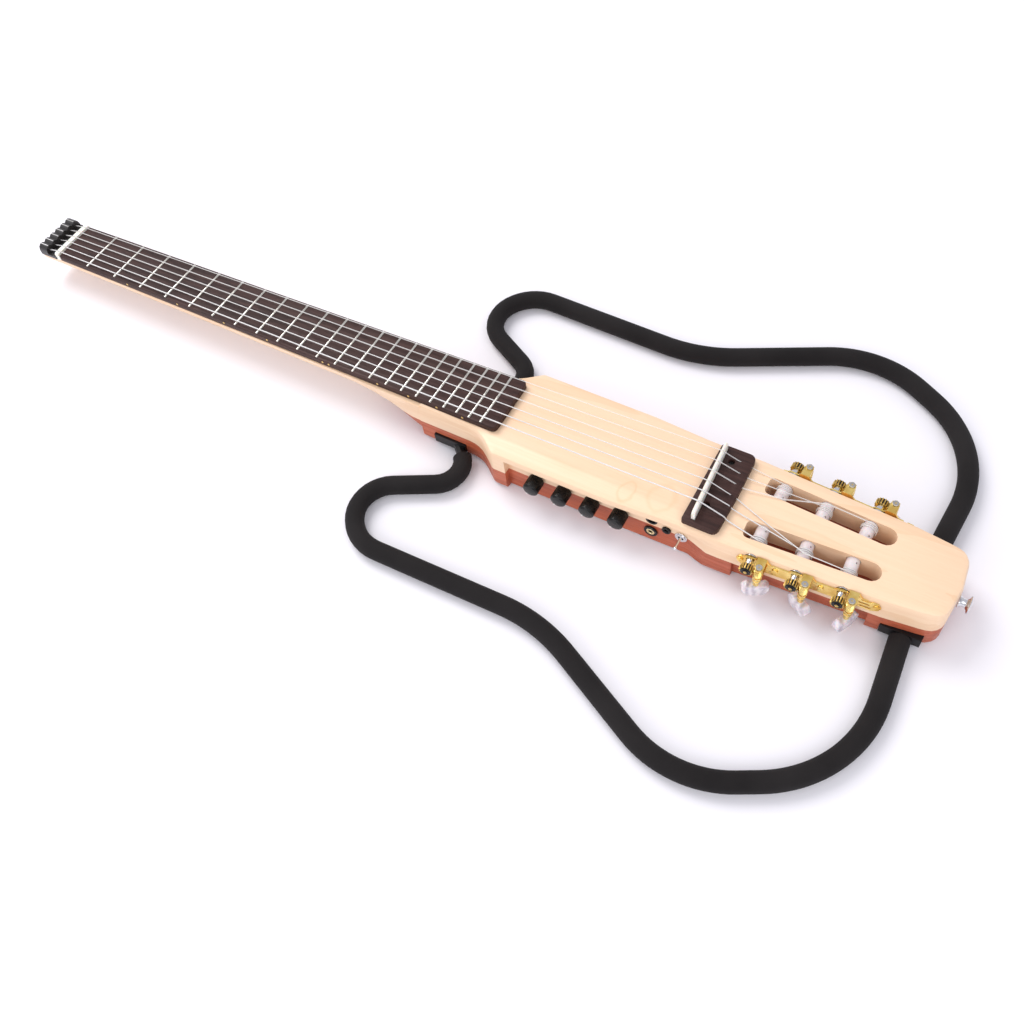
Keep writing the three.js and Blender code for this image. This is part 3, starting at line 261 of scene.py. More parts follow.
def new_group(name, inputs, outputs):
    """A shader node group with named sockets, and its two end nodes."""
    group = bpy.data.node_groups.new(name, "ShaderNodeTree")
    for label, kind, value in inputs:
        socket = group.interface.new_socket(name=label, in_out="INPUT", socket_type=kind)
        if value is not None:
            socket.default_value = value
    for label, kind in outputs:
        group.interface.new_socket(name=label, in_out="OUTPUT", socket_type=kind)
    return group, group.nodes.new("NodeGroupInput"), group.nodes.new("NodeGroupOutput")


# Growth rings round a log that lies along x, with long fibres and short dark pores.
wood_grain, wood_in, wood_out = new_group(
    "wood_grain",
    (("Vector", "NodeSocketVector", None),
     ("Pale", "NodeSocketColor", (0.8, 0.6, 0.4, 1.0)),
     ("Dark", "NodeSocketColor", (0.4, 0.2, 0.1, 1.0)),
     ("Pore", "NodeSocketColor", (0.2, 0.1, 0.05, 1.0)),
     ("Ring Scale", "NodeSocketFloat", 8.0),
     ("Ring Wander", "NodeSocketFloat", 6.0),
     ("Ring Amount", "NodeSocketFloat", 0.3),
     ("Fibre Amount", "NodeSocketFloat", 0.3),
     ("Pore Amount", "NodeSocketFloat", 0.3)),
    (("Color", "NodeSocketColor"), ("Height", "NodeSocketFloat"), ("Rough", "NodeSocketFloat")))
along = add_node(wood_grain, "ShaderNodeMapping", Scale=(0.12, 1.0, 1.0))
rings = add_node(wood_grain, "ShaderNodeTexWave", wave_type="RINGS", rings_direction="X", wave_profile="SAW",
                 Detail=3.0, Detail_Scale=6.0, Detail_Roughness=0.45)
ring_mask = add_node(wood_grain, "ShaderNodeMapRange", From_Min=0.55, From_Max=1.0,
                     interpolation_type="SMOOTHSTEP")
ring_part = add_node(wood_grain, "ShaderNodeMath", operation="MULTIPLY")
stretch = add_node(wood_grain, "ShaderNodeMapping", Scale=(6.0, 260.0, 260.0))
fibre = add_node(wood_grain, "ShaderNodeTexNoise", Scale=1.0, Detail=6.0, Roughness=0.65)
fibre_mask = add_node(wood_grain, "ShaderNodeMapRange", From_Min=0.38, From_Max=0.66)
fibre_part = add_node(wood_grain, "ShaderNodeMath", operation="MULTIPLY")
both = add_node(wood_grain, "ShaderNodeMath", operation="ADD", use_clamp=True)
cloud = add_node(wood_grain, "ShaderNodeTexNoise", Scale=14.0, Detail=2.0)
cloud_part = add_node(wood_grain, "ShaderNodeMath", operation="MULTIPLY_ADD")
cloud_part.inputs[1].default_value = 0.12
tone = add_node(wood_grain, "ShaderNodeMixRGB")
pore_map = add_node(wood_grain, "ShaderNodeMapping", Scale=(110.0, 1500.0, 1500.0))
pore = add_node(wood_grain, "ShaderNodeTexNoise", Scale=1.0, Detail=1.0)
pore_mask = add_node(wood_grain, "ShaderNodeMapRange", From_Min=0.62, From_Max=0.72)
pore_part = add_node(wood_grain, "ShaderNodeMath", operation="MULTIPLY")
with_pores = add_node(wood_grain, "ShaderNodeMixRGB")
relief = add_node(wood_grain, "ShaderNodeMath", operation="MULTIPLY_ADD")
relief.inputs[1].default_value = -1.0
rough_part = add_node(wood_grain, "ShaderNodeMath", operation="MULTIPLY_ADD")
rough_part.inputs[1].default_value = 0.18
rough_part.inputs[2].default_value = 0.0
for source, output, target, entry in (
        (wood_in, "Vector", along, "Vector"), (along, "Vector", rings, "Vector"),
        (wood_in, "Ring Scale", rings, "Scale"), (wood_in, "Ring Wander", rings, "Distortion"),
        (rings, "Fac", ring_mask, "Value"), (ring_mask, "Result", ring_part, 0),
        (wood_in, "Ring Amount", ring_part, 1),
        (wood_in, "Vector", stretch, "Vector"), (stretch, "Vector", fibre, "Vector"),
        (fibre, "Fac", fibre_mask, "Value"), (fibre_mask, "Result", fibre_part, 0),
        (wood_in, "Fibre Amount", fibre_part, 1),
        (wood_in, "Vector", cloud, "Vector"), (cloud, "Fac", cloud_part, 0),
        (fibre_part, "Value", cloud_part, 2),
        (ring_part, "Value", both, 0), (cloud_part, "Value", both, 1), (both, "Value", tone, "Fac"),
        (wood_in, "Pale", tone, "Color1"), (wood_in, "Dark", tone, "Color2"),
        (wood_in, "Vector", pore_map, "Vector"), (pore_map, "Vector", pore, "Vector"),
        (pore, "Fac", pore_mask, "Value"), (pore_mask, "Result", pore_part, 0),
        (wood_in, "Pore Amount", pore_part, 1), (pore_part, "Value", with_pores, "Fac"),
        (tone, "Color", with_pores, "Color1"), (wood_in, "Pore", with_pores, "Color2"),
        (with_pores, "Color", wood_out, "Color"),
        (pore_part, "Value", relief, 0), (fibre_part, "Value", relief, 2),
        (relief, "Value", wood_out, "Height"),
        (fibre_mask, "Result", rough_part, 0), (rough_part, "Value", wood_out, "Rough")):
    wood_grain.links.new(source.outputs[output], target.inputs[entry])


def wooden(name, colours, ring, amounts, surface, log=(0.0, 0.0, 0.0), depth=0.0002, coat=0.0):
    """A wood finish: pale, dark and pore colours, the rings' size and wander, the amounts of rings, fibres
    and pores, the surface's roughness and relief, and where the log's heart lies."""
    made = finish_named(name, colours[0], surface[0], Coat_Weight=coat, Coat_Roughness=0.25)
    tree = made.node_tree
    grain = tree.nodes.new("ShaderNodeGroup")
    grain.node_tree = wood_grain
    for label, colour in zip(("Pale", "Dark", "Pore"), colours):
        grain.inputs[label].default_value = (*colour, 1.0)
    for label, value in zip(("Ring Scale", "Ring Wander", "Ring Amount", "Fibre Amount", "Pore Amount"),
                            (*ring, *amounts)):
        grain.inputs[label].default_value = value
    place = add_node(tree, "ShaderNodeTexCoord")
    heart = add_node(tree, "ShaderNodeMapping", Location=log)
    spread = add_node(tree, "ShaderNodeMath", operation="ADD")
    spread.inputs[1].default_value = surface[0]
    tree.links.new(place.outputs["Object"], heart.inputs["Vector"])
    tree.links.new(heart.outputs["Vector"], grain.inputs["Vector"])
    tree.links.new(grain.outputs["Color"], shader(made).inputs["Base Color"])
    tree.links.new(grain.outputs["Rough"], spread.inputs[0])
    tree.links.new(spread.outputs["Value"], shader(made).inputs["Roughness"])
    relief_by(made, grain.outputs["Height"], surface[1], depth)
    return made


mahogany = wooden("mahogany", ((0.56, 0.135, 0.058), (0.39, 0.078, 0.034), (0.14, 0.026, 0.014)),
                  (5.0, 4.0), (0.35, 0.6, 0.55), (0.42, 0.5), (0.0, 0.03, 0.11), 0.0003)
back = solid_from("mahogany_back", "back")
soften(back, 0.0004)
settle(back, "body_back", mahogany, "guitar", "mahogany", "mahogany_back")


# Maple neck and body
# The neck and the upper half of the body are one length of pale hard maple under a thin satin
# lacquer. Two slots for the strings are routed through the tail.
maple = wooden("maple", ((0.92, 0.67, 0.46), (0.80, 0.50, 0.28), (0.68, 0.41, 0.23)),
               (7.0, 9.0), (0.30, 0.22, 0.12), (0.36, 0.12), (-0.25, -0.02, 0.10), 0.0001, 0.12)
top = solid_from("maple_neck_body", "top")
soften(top, 0.0004)
settle(top, "body_and_neck", maple, "guitar", "maple", "maple_neck_body")

# Two faint rings round small knots, between the knobs and the bridge: a place, half sizes and a strength.
knots = ((0.1152, -0.0297, 0.0062, 0.0088, 0.5), (0.1411, -0.0244, 0.0105, 0.0118, 0.35))
knot_colour = (0.86, 0.50, 0.27, 1.0)
sway_reach = 0.008
tree = maple.node_tree
place = add_node(tree, "ShaderNodeTexCoord")
sway = add_node(tree, "ShaderNodeTexNoise", Scale=70.0, Detail=1.0)
sway_size = add_node(tree, "ShaderNodeVectorMath", operation="MULTIPLY")
sway_size.inputs[1].default_value = (sway_reach, sway_reach, 0.0)
swayed = add_node(tree, "ShaderNodeVectorMath", operation="ADD")
tree.links.new(place.outputs["Object"], sway.inputs["Vector"])
tree.links.new(sway.outputs["Color"], sway_size.inputs[0])
tree.links.new(place.outputs["Object"], swayed.inputs[0])
tree.links.new(sway_size.outputs["Vector"], swayed.inputs[1])
for x, y, half_x, half_y, strength in knots:
    wide = (0.5 / half_x, 0.5 / half_y, 0.0)
    middle = (body_point.x + x + sway_reach / 2, body_point.y + y + sway_reach / 2)
    knot = add_node(tree, "ShaderNodeMapping", Scale=wide,
                    Location=(-middle[0] * wide[0], -middle[1] * wide[1], 0.0))
    distance = add_node(tree, "ShaderNodeTexGradient", gradient_type="SPHERICAL")
    ring = add_node(tree, "ShaderNodeValToRGB")
    for element, position in zip(ring.color_ramp.elements, (0.38, 0.62)):
        element.position = position
        element.color = (0.0, 0.0, 0.0, 1.0)
    ring.color_ramp.elements.new(0.5).color = (strength, strength, strength, 1.0)
    stain = add_node(tree, "ShaderNodeMix", data_type="RGBA")
    factor, plain, stained, result = stain.inputs[0], stain.inputs[6], stain.inputs[7], stain.outputs[2]
    stained.default_value = knot_colour
    tree.links.new(swayed.outputs["Vector"], knot.inputs["Vector"])
    tree.links.new(knot.outputs["Vector"], distance.inputs["Vector"])
    tree.links.new(distance.outputs["Fac"], ring.inputs["Fac"])
    tree.links.new(ring.outputs["Color"], factor)
    tree.links.new(shader(maple).inputs["Base Color"].links[0].from_socket, plain)
    tree.links.new(result, shader(maple).inputs["Base Color"])


# Side frames and foam grips
# Each side frame is a bent tube of black anodised aluminium with a flat tongue at both ends that
# slides into the back. A sleeve of fine-celled black foam, 15.5 mm thick, is pulled over the tube.
def on_body(x, y, z):
    """A place in millimetres from the fingerboard's end on the face of the top."""
    return body_point + Vector((x, y, z)) / 1000.0


def bent_line(corners, step=5.0):
    """Points along straight runs joined by arcs; a corner is x, y and its bend radius, in millimetres."""
    line = [Vector(corners[0][:2])]
    for before, here, after in zip(corners, corners[1:], corners[2:]):
        corner, radius = Vector(here[:2]), here[2]
        back = (Vector(before[:2]) - corner).normalized()
        ahead = (Vector(after[:2]) - corner).normalized()
        opening = back.angle(ahead)
        middle = corner + (back + ahead).normalized() * (radius / math.sin(opening / 2))
        first = corner + back * (radius / math.tan(opening / 2)) - middle
        last = corner + ahead * (radius / math.tan(opening / 2)) - middle
        sweep = first.angle_signed(last)
        count = max(4, round(abs(sweep) * radius / step))
        for i in range(count + 1):
            angle = -sweep * i / count
            line.append(middle + Vector((first.x * math.cos(angle) - first.y * math.sin(angle),
                                         first.x * math.sin(angle) + first.y * math.cos(angle))))
    line.append(Vector(corners[-1][:2]))
    return line


def shortened(line, start, end):
    """The line without its first and last millimetres."""
    for length in (start, end):
        while (line[1] - line[0]).length < length:
            length -= (line[1] - line[0]).length
            line = line[1:]
        line = [line[0] + (line[1] - line[0]).normalized() * length] + line[1:]
        line = line[::-1]
    return line


def welded(threshold, angle):
    """Joins the seams of the mesh in hand, turns its faces outward and smooths all but its sharp edges."""
    bpy.ops.object.mode_set(mode="EDIT")
    bpy.ops.mesh.select_all(action="SELECT")
    bpy.ops.mesh.remove_doubles(threshold=threshold)
    bpy.ops.mesh.normals_make_consistent(inside=False)
    bpy.ops.object.mode_set(mode="OBJECT")
    bpy.ops.object.shade_smooth_by_angle(angle=math.radians(angle))


def along_line(name, points, radius, sides=24):
    """A round bar along points, drawn as a curve with thickness and then made a mesh."""
    route = bpy.data.curves.new(name, "CURVE")
    route.dimensions = "3D"
    route.bevel_depth = radius
    route.bevel_resolution = sides // 4 - 1
    route.use_fill_caps = True
    spline = route.splines.new("POLY")
    spline.points.add(len(points) - 1)
    for knot, point in zip(spline.points, points):
        knot.co = (*point, 1.0)
    take_up(placed(name, route))
    bpy.ops.object.convert(target="MESH")
    welded(0.000001, 50.0)
    return bpy.context.object


foam = finish_named("foam", (0.014, 0.0125, 0.0125), 0.82, Sheen_Weight=0.03, Sheen_Roughness=0.6,
                    Specular_IOR_Level=0.12)
cells = pattern_on(foam, "Voronoi", Scale=1900.0)
lumps = pattern_on(foam, "Noise", Scale=160.0, Detail=3.0)
scuff = pattern_on(foam, "Noise", Scale=22.0, Detail=4.0)
colour_by(foam, scuff, (0.011, 0.0095, 0.0098), (0.019, 0.0168, 0.0170), (0.3, 0.75))
mix = add_node(foam.node_tree, "ShaderNodeMath", operation="MULTIPLY_ADD")
mix.inputs[1].default_value = 0.5
foam.node_tree.links.new(cells, mix.inputs[0])
foam.node_tree.links.new(lumps, mix.inputs[2])
relief_by(foam, mix.outputs["Value"], 0.35, 0.0003)

black_aluminium = finish_named("black_aluminium", (0.012, 0.012, 0.013), 0.38, 0.6)
wear = pattern_on(black_aluminium, "Noise", Scale=60.0, Detail=4.0)
colour_by(black_aluminium, wear, (0.009, 0.009, 0.010), (0.02, 0.02, 0.021))
value_by(black_aluminium, wear, 0.3, 0.52)
relief_by(black_aluminium, pattern_on(black_aluminium, "Noise", Scale=900.0, Detail=2.0), 0.12, 0.0001)

tube_height, grip_radius = -35.1, 7.75
bare_at_heel, bare_at_tail = 14.2, 3.4
frame_corners = ((-39.0, 28.0, 0.0), (-8.5, 56.5, 21.0), (-90.0, 99.0, 28.0), (-66.0, 144.0, 36.0),
                 (99.0, 139.3, 130.0), (233.0, 204.5, 84.0), (337.5, 147.0, 94.5), (329.6, 33.0, 0.0))
for side, hand in (("bass", -1.0), ("treble", 1.0)):
    corners = [(x, y * hand, bend) for x, y, bend in frame_corners]
    grip_line = shortened(bent_line(corners), bare_at_heel, bare_at_tail)
    grip = along_line("grip", [on_body(x, y, tube_height) for x, y in grip_line], grip_radius / 1000.0, 32)
    soften(grip, 0.0012, 3, 60.0)
    settle(grip, f"foam_sleeve_{side}", foam, f"side_frame_unit_{side}", "foam", f"foam_grip_{side}")
    tube = solid_from(f"side_frame_{side}", "tube")
    soften(tube, 0.0006)
    settle(tube, f"frame_tube_{side}", black_aluminium, f"side_frame_unit_{side}", "black_aluminium",
           f"side_frame_{side}")


# Fingerboard and frets
# A rosewood board glued on the neck, which slopes back from the body by a degree and a half.
# 22 nickel-silver frets are pressed across it, and brass dots mark the places on its near edge.
neck_slope = 0.026
scale_length = 650.0
fret_count = 22
past_last_fret = 13.6
board_thick, board_at_body, board_at_nut = 5.8, 52.6, 42.9


def on_neck(x, y, z):
    """A place in millimetres on the sloping neck, from the board's end at the body."""
    level, up = math.cos(neck_slope), math.sin(neck_slope)
    return on_body(x * level - z * up, y, x * up + z * level)


def slope_with_neck(piece):
    """Tilts a piece that was made level onto the sloping neck."""
    fix_place(piece)
    piece.data.transform(Matrix.Translation(body_point) @ Matrix.Rotation(-neck_slope, 4, "Y")
                         @ Matrix.Translation(-body_point))
    return piece


def level_block(low, high):
    """A level block between two corners."""
    clear_hand()
    bpy.ops.mesh.primitive_cube_add(size=1.0, location=(low + high) / 2, scale=high - low)
    return fix_place(bpy.context.object)


def pick(piece, test, mode="VERT"):
    """Selects the vertices or edges whose middle, in body millimetres, passes the test."""
    bpy.ops.object.mode_set(mode="EDIT")
    bpy.context.tool_settings.mesh_select_mode = (mode == "VERT", mode == "EDGE", False)
    bpy.ops.mesh.select_all(action="DESELECT")
    bpy.ops.object.mode_set(mode="OBJECT")
    mesh = piece.data
    for part in mesh.vertices if mode == "VERT" else mesh.edges:
        spots = [part.co] if mode == "VERT" else [mesh.vertices[i].co for i in part.vertices]
        middle = (sum(spots, Vector()) / len(spots) - body_point) * 1000.0
        part.select = bool(test(middle))
    bpy.ops.object.mode_set(mode="EDIT")


def copy_of(piece, where, turn=(0.0, 0.0, 0.0)):
    """A copy with a mesh of its own, set at a place and turned."""
    made = placed(piece.name, piece.data.copy())
    made.location = where
    made.rotation_euler = turn
    return made


def discard(*pieces):
    """Throws away shapes that were only there to be copied or to cut."""
    for piece in pieces:
        bpy.data.objects.remove(piece)


rosewood = wooden("rosewood", ((0.060, 0.025, 0.020), (0.027, 0.0105, 0.0085), (0.010, 0.004, 0.0035)),
                  (26.0, 5.0), (0.6, 0.7, 0.8), (0.46, 0.62), (0.1, 0.0, 0.2), 0.0002)
shader(rosewood).inputs["Specular IOR Level"].default_value = 0.28
board_length = scale_length * (1 - 2 ** (-fret_count / 12)) + past_last_fret
nut_x = -board_length
fret_x = [nut_x + scale_length * (1 - 2 ** (-n / 12)) for n in range(1, fret_count + 1)]


def board_half(x):
    """Half the board's width at a place along it."""
    return (board_at_body + (board_at_nut - board_at_body) * (-x / board_length)) / 2


board = level_block(on_body(nut_x, -board_at_body / 2, 0.0), on_body(0.0, board_at_body / 2, board_thick))
pick(board, lambda p: p.x < nut_x + 1)
bpy.ops.transform.resize(value=(1.0, board_at_nut / board_at_body, 1.0), center_override=on_body(nut_x, 0, 0))
pick(board, lambda p: p.x > -1 and abs(abs(p.y) - board_at_body / 2) < 0.1 and 1 < p.z < 5, "EDGE")
bpy.ops.mesh.bevel(offset=0.004, segments=6, affect="EDGES")
bpy.ops.object.mode_set(mode="OBJECT")
soften(board, 0.0006, 3)
slope_with_neck(board)
settle(board, "fingerboard_wood", rosewood, "guitar", "rosewood", "fingerboard")

fret_metal = finish_named("fret_metal", (0.72, 0.69, 0.62), 0.2, 1.0)
polish = pattern_on(fret_metal, "Noise", (900.0, 60.0, 900.0), Scale=1.0, Detail=3.0)
colour_by(fret_metal, polish, (0.60, 0.57, 0.50), (0.80, 0.78, 0.72))
value_by(fret_metal, polish, 0.14, 0.34)
relief_by(fret_metal, polish, 0.08, 0.0001)

# One crown, 2.2 mm wide and 1 mm high, with its ends dressed back. It is 50 mm long, and each fret is a
# copy of it, shortened to the board's width there.
crown_radius, crown_height, crown_length = 0.0011, 0.001, 0.05
clear_hand()
bpy.ops.mesh.primitive_cylinder_add(vertices=24, radius=crown_radius, depth=crown_length,
                                    rotation=(math.pi / 2, 0, 0))
crown = fix_place(bpy.context.object)
bpy.ops.object.mode_set(mode="EDIT")
bpy.ops.mesh.select_all(action="SELECT")
bpy.ops.mesh.bisect(plane_co=(0, 0, 0), plane_no=(0, 0, 1), clear_inner=True, use_fill=True)
bpy.ops.object.mode_set(mode="OBJECT")
soften(crown, 0.0004, 2, 60.0)
for number, x in enumerate(fret_x, 1):
    fret = copy_of(crown, on_body(x, 0.0, board_thick))
    fret.scale = (1.0, (board_half(x) - 0.5) / (crown_length * 500.0), crown_height / crown_radius)
    slope_with_neck(fret)
    settle(fret, f"fret_{number:02d}", fret_metal, "guitar", "rosewood", "fingerboard")
discard(crown)

brass = finish_named("dot_brass", (0.78, 0.55, 0.20), 0.3, 0.8)
value_by(brass, pattern_on(brass, "Noise", Scale=700.0, Detail=2.0), 0.22, 0.5)
between = [0.0] + [(before + x) / 2 for before, x in zip([nut_x] + fret_x, fret_x)]
dots = [between[n] for n in (3, 5, 7, 9, 15, 17, 19, 21)] + [between[12] - 3.2, between[12] + 3.2]
for number, x in enumerate(sorted(dots), 1):
    clear_hand()
    bpy.ops.mesh.primitive_cylinder_add(vertices=20, radius=0.001, depth=0.0012, rotation=(math.pi / 2, 0, 0),
                                        location=on_body(x, 0.35 - board_half(x), 3.4))
    dot = fix_place(bpy.context.object)
    soften(dot, 0.0002, 2)
    slope_with_neck(dot)
    settle(dot, f"side_dot_{number:02d}", brass, "guitar", "rosewood")


# Strings
# Three wound bass strings, silvery white, and three of clear nylon. Each is looped over the bar behind
# the nut, crosses nut and saddle, goes down through the bridge and back to its roller in the tail.
tail_start, tail_end = Vector((195.0, 40.8)), Vector((312.0, 34.5))
facet_turn = math.atan2(tail_start.y - tail_end.y, tail_end.x - tail_start.x)


def beside_tail(side, u, v, z):
    """A place by the tapered tail: u along its side face, v inward from it, in millimetres."""
    x = tail_start.x + u * math.cos(facet_turn) - v * math.sin(facet_turn)
    y = tail_start.y - u * math.sin(facet_turn) - v * math.cos(facet_turn)
    return on_body(x, side * y, z)


def eased(points, reach=0.002, steps=6):
    """The same way with a short curve at each corner."""
    line = [points[0]]
    for before, here, after in zip(points, points[1:], points[2:]):
        first = here + (before - here).normalized() * min(reach, (before - here).length * 0.45)
        last = here + (after - here).normalized() * min(reach, (after - here).length * 0.45)
        for i in range(steps + 1):
            share = i / steps
            line.append(first * (1 - share) ** 2 + here * 2 * share * (1 - share) + last * share ** 2)
    line.append(points[-1])
    return line


def measured(piece, line):
    """Writes the length along its line to each vertex, for a pattern that follows the piece."""
    tree = kdtree.KDTree(len(line))
    lengths = [0.0]
    for i, point in enumerate(line):
        tree.insert(point, i)
        if i:
            lengths.append(lengths[-1] + (point - line[i - 1]).length)
    tree.balance()
    along = piece.data.attributes.new("along", "FLOAT", "POINT")
    for i, vertex in enumerate(piece.data.vertices):
        along.data[i].value = lengths[tree.find(vertex.co)[1]]


winding_step = 0.00045
wound = finish_named("wound_string", (0.80, 0.78, 0.77), 0.34, 0.35)
tree = wound.node_tree
length = add_node(tree, "ShaderNodeAttribute", attribute_name="along")
turns = add_node(tree, "ShaderNodeMath", operation="MULTIPLY")
turns.inputs[1].default_value = 2 * math.pi / winding_step
ridge = add_node(tree, "ShaderNodeMath", operation="SINE")
ridge_share = add_node(tree, "ShaderNodeMapRange", From_Min=-1.0, From_Max=1.0)
tree.links.new(length.outputs["Fac"], turns.inputs[0])
tree.links.new(turns.outputs["Value"], ridge.inputs[0])
tree.links.new(ridge.outputs["Value"], ridge_share.inputs["Value"])
# Painted shade and highlight: the grooves between the wraps are coloured darker and the crests lighter.
colour_by(wound, ridge_share.outputs["Result"], (0.60, 0.58, 0.57), (0.88, 0.87, 0.86))
relief_by(wound, ridge_share.outputs["Result"], 0.5, 0.0001)

clear_nylon = finish_named("clear_nylon", (0.88, 0.86, 0.84), 0.18)
edge_on = add_node(clear_nylon.node_tree, "ShaderNodeLayerWeight", Blend=0.4)
value_by(clear_nylon, pattern_on(clear_nylon, "Noise", Scale=300.0, Detail=2.0), 0.12, 0.26)
value_by(clear_nylon, edge_on.outputs["Facing"], 0.34, 0.9, "Alpha")

string_widths = (1.1, 0.95, 0.8, 1.0, 0.85, 0.75)
spread_at_nut, spread_at_saddle = 35.6, 48.0
saddle_x, saddle_slant, saddle_top = 168.0, 0.055, 14.6
bridge_holes = ((189.2, -22.4), (188.5, -12.0), (184.4, -2.6), (183.5, 7.8), (182.6, 17.6), (178.6, 27.6))
roller_of_string = ((-1, 0, 13.3), (-1, 1, 16.9), (-1, 2, 13.8), (1, 2, 13.8), (1, 1, 16.9), (1, 0, 13.3))
first_roller, roller_pitch, roller_height, roller_radius = 22.7, 32.7, -6.5, 5.0
bar_front, bar_back, bar_top, bar_low, nut_top = nut_x - 15.0, nut_x - 25.0, 9.8, 5.2, 7.4
slack, winding_gap = 0.3, 0.55
turns_on_roller, steps_a_turn = 2.5, 36
for number, (width, hole, roller) in enumerate(zip(string_widths, bridge_holes, roller_of_string)):
    side, station, inset = roller
    radius = width / 2
    share = number / 5 - 0.5
    nut_y, saddle_y = share * spread_at_nut, share * spread_at_saddle
    way = [on_neck(x, nut_y, z) for x, z in (
        (bar_front - radius, bar_top), (bar_back + radius, bar_top),
        (bar_back - slack - radius, bar_top - radius), (bar_back - slack - radius, bar_low + radius),
        (bar_back + radius, bar_low), (bar_front, bar_low), (nut_x - 5.0, nut_top), (nut_x, nut_top))]
    way.append(on_body(saddle_x - saddle_slant * saddle_y, saddle_y, saddle_top + radius))
    way.append(on_body(*hole, 5.2))
    way.append(on_body(max(190.4, hole[0] + radius) + slack, hole[1], 2.6))
    if station == 2:
        way.append(beside_tail(side, 27.5, 26.3, 1.0))
        way.append(beside_tail(side, 55.4, 14.9, 0.9))
    reach = roller_radius + slack + radius
    u = first_roller + station * roller_pitch
    way.append(beside_tail(side, u, inset, roller_height + reach))
    line = eased(way)
    for step in range(1, round(turns_on_roller * steps_a_turn) + 1):
        share = step / steps_a_turn
        angle = 2 * math.pi * share
        line.append(beside_tail(side, u + reach * math.sin(angle), inset + (width + winding_gap) * share,
                                roller_height + reach * math.cos(angle)))
    finish = wound if number < 3 else clear_nylon
    string = along_line("string", line, radius / 1000.0, 12)
    measured(string, line)
    settle(string, f"string_line_{number + 1}", finish, "guitar", "nylon", f"string_{number + 1}")


# Nut and string bar
# A bone nut stands in front of the board, and behind it a black bar with a lobe for each string,
# screwed to the neck's end, where the strings are looped and tied.
bone = finish_named("bone", (0.90, 0.87, 0.79), 0.28, Subsurface_Weight=0.12, Subsurface_Scale=0.002)
streak = pattern_on(bone, "Noise", (400.0, 40.0, 200.0), Scale=1.0, Detail=4.0)
colour_by(bone, streak, (0.80, 0.75, 0.64), (0.92, 0.90, 0.84), (0.3, 0.6))
value_by(bone, streak, 0.2, 0.36)
relief_by(bone, streak, 0.06, 0.0001)
nut = solid_from("nut", "nut")
soften(nut, 0.0002, 3, 50.0)
settle(nut, "bone_nut", bone, "guitar", "bone", "nut")

ebony = wooden("ebony", ((0.020, 0.017, 0.016), (0.011, 0.009, 0.009), (0.004, 0.003, 0.003)),
               (20.0, 3.0), (0.4, 0.6, 0.5), (0.32, 0.4), (0.0, 0.1, 0.2), 0.0001, 0.2)
lobes = solid_from("string_anchor_bar", "lobes", 50.0)
soften(lobes, 0.00035, 3, 40.0)
settle(lobes, "string_bar", ebony, "guitar", "ebony", "string_anchor_bar")


# Bridge
# A slim rosewood bridge, glued and held by two screws that are sunk into it, with a bone saddle
# in a slot, a pickup strip below the saddle and a hole for each string.
def carve(piece, cutter):
    """Cuts one shape out of another and throws the cutter away."""
    take_up(piece)
    cut = piece.modifiers.new("cut", "BOOLEAN")
    cut.operation = "DIFFERENCE"
    cut.solver = "EXACT"
    cut.object = cutter
    bpy.ops.object.modifier_apply(modifier="cut")
    discard(cutter)
    return piece


def cut_box(piece, where, size, turn=(0.0, 0.0, 0.0)):
    """Cuts a box out of a piece."""
    clear_hand()
    bpy.ops.mesh.primitive_cube_add(size=1.0, location=where, rotation=turn, scale=size)
    return carve(piece, bpy.context.object)


def cut_bore(piece, sides, radius, depth, where, turn=(0.0, 0.0, 0.0)):
    """Cuts a bore, or with few sides a key's hole, out of a piece."""
    clear_hand()
    bpy.ops.mesh.primitive_cylinder_add(vertices=sides, radius=radius, depth=depth, location=where,
                                        rotation=turn)
    return carve(piece, bpy.context.object)


def spun(profile, steps=48, angle=30.0):
    """A piece turned about its z axis, from pairs of radius and height in millimetres."""
    clear_hand()
    mesh = bpy.data.meshes.new("turned")
    mesh.from_pydata([(r / 1000.0, 0.0, h / 1000.0) for r, h in profile],
                     [(i, i + 1) for i in range(len(profile) - 1)], [])
    piece = take_up(placed("turned", mesh))
    bpy.ops.object.mode_set(mode="EDIT")
    bpy.ops.mesh.select_all(action="SELECT")
    bpy.ops.mesh.spin(steps=steps, angle=2 * math.pi, center=(0, 0, 0), axis=(0, 0, 1))
    welded(0.000002, angle)
    return piece


black_steel = finish_named("black_steel", (0.018, 0.018, 0.019), 0.35, 0.7)
grit = pattern_on(black_steel, "Noise", Scale=700.0, Detail=3.0)
colour_by(black_steel, grit, (0.011, 0.011, 0.012), (0.032, 0.031, 0.031))
value_by(black_steel, grit, 0.28, 0.5)

bridge_wood = solid_from("bridge", "bridge")
screw_places = ((174.6, 24.3), (173.5, -18.1))
for x, y in screw_places:
    cut_bore(bridge_wood, 32, 0.0026, 0.006, on_body(x, y, 5.2))
soften(bridge_wood, 0.0003, 3, 40.0)
settle(bridge_wood, "bridge_wood", rosewood, "guitar", "rosewood", "bridge")
bridge_screw = spun(((0, 3.4), (1.4, 3.4), (2.1, 3.0), (2.3, 2.5), (2.3, 2.25), (0, 2.25)))
cut_bore(bridge_screw, 6, 0.0009, 0.0016, (0, 0, 0.0034))
for number, (x, y) in enumerate(screw_places, 1):
    settle(copy_of(bridge_screw, on_body(x, y, 0.0)), f"bridge_screw_{number}", black_steel, "guitar",
           "rosewood")
discard(bridge_screw)

saddle = solid_from("saddle", "saddle", 50.0)
soften(saddle, 0.0003, 3, 40.0)
settle(saddle, "bone_saddle", bone, "guitar", "bone", "saddle")


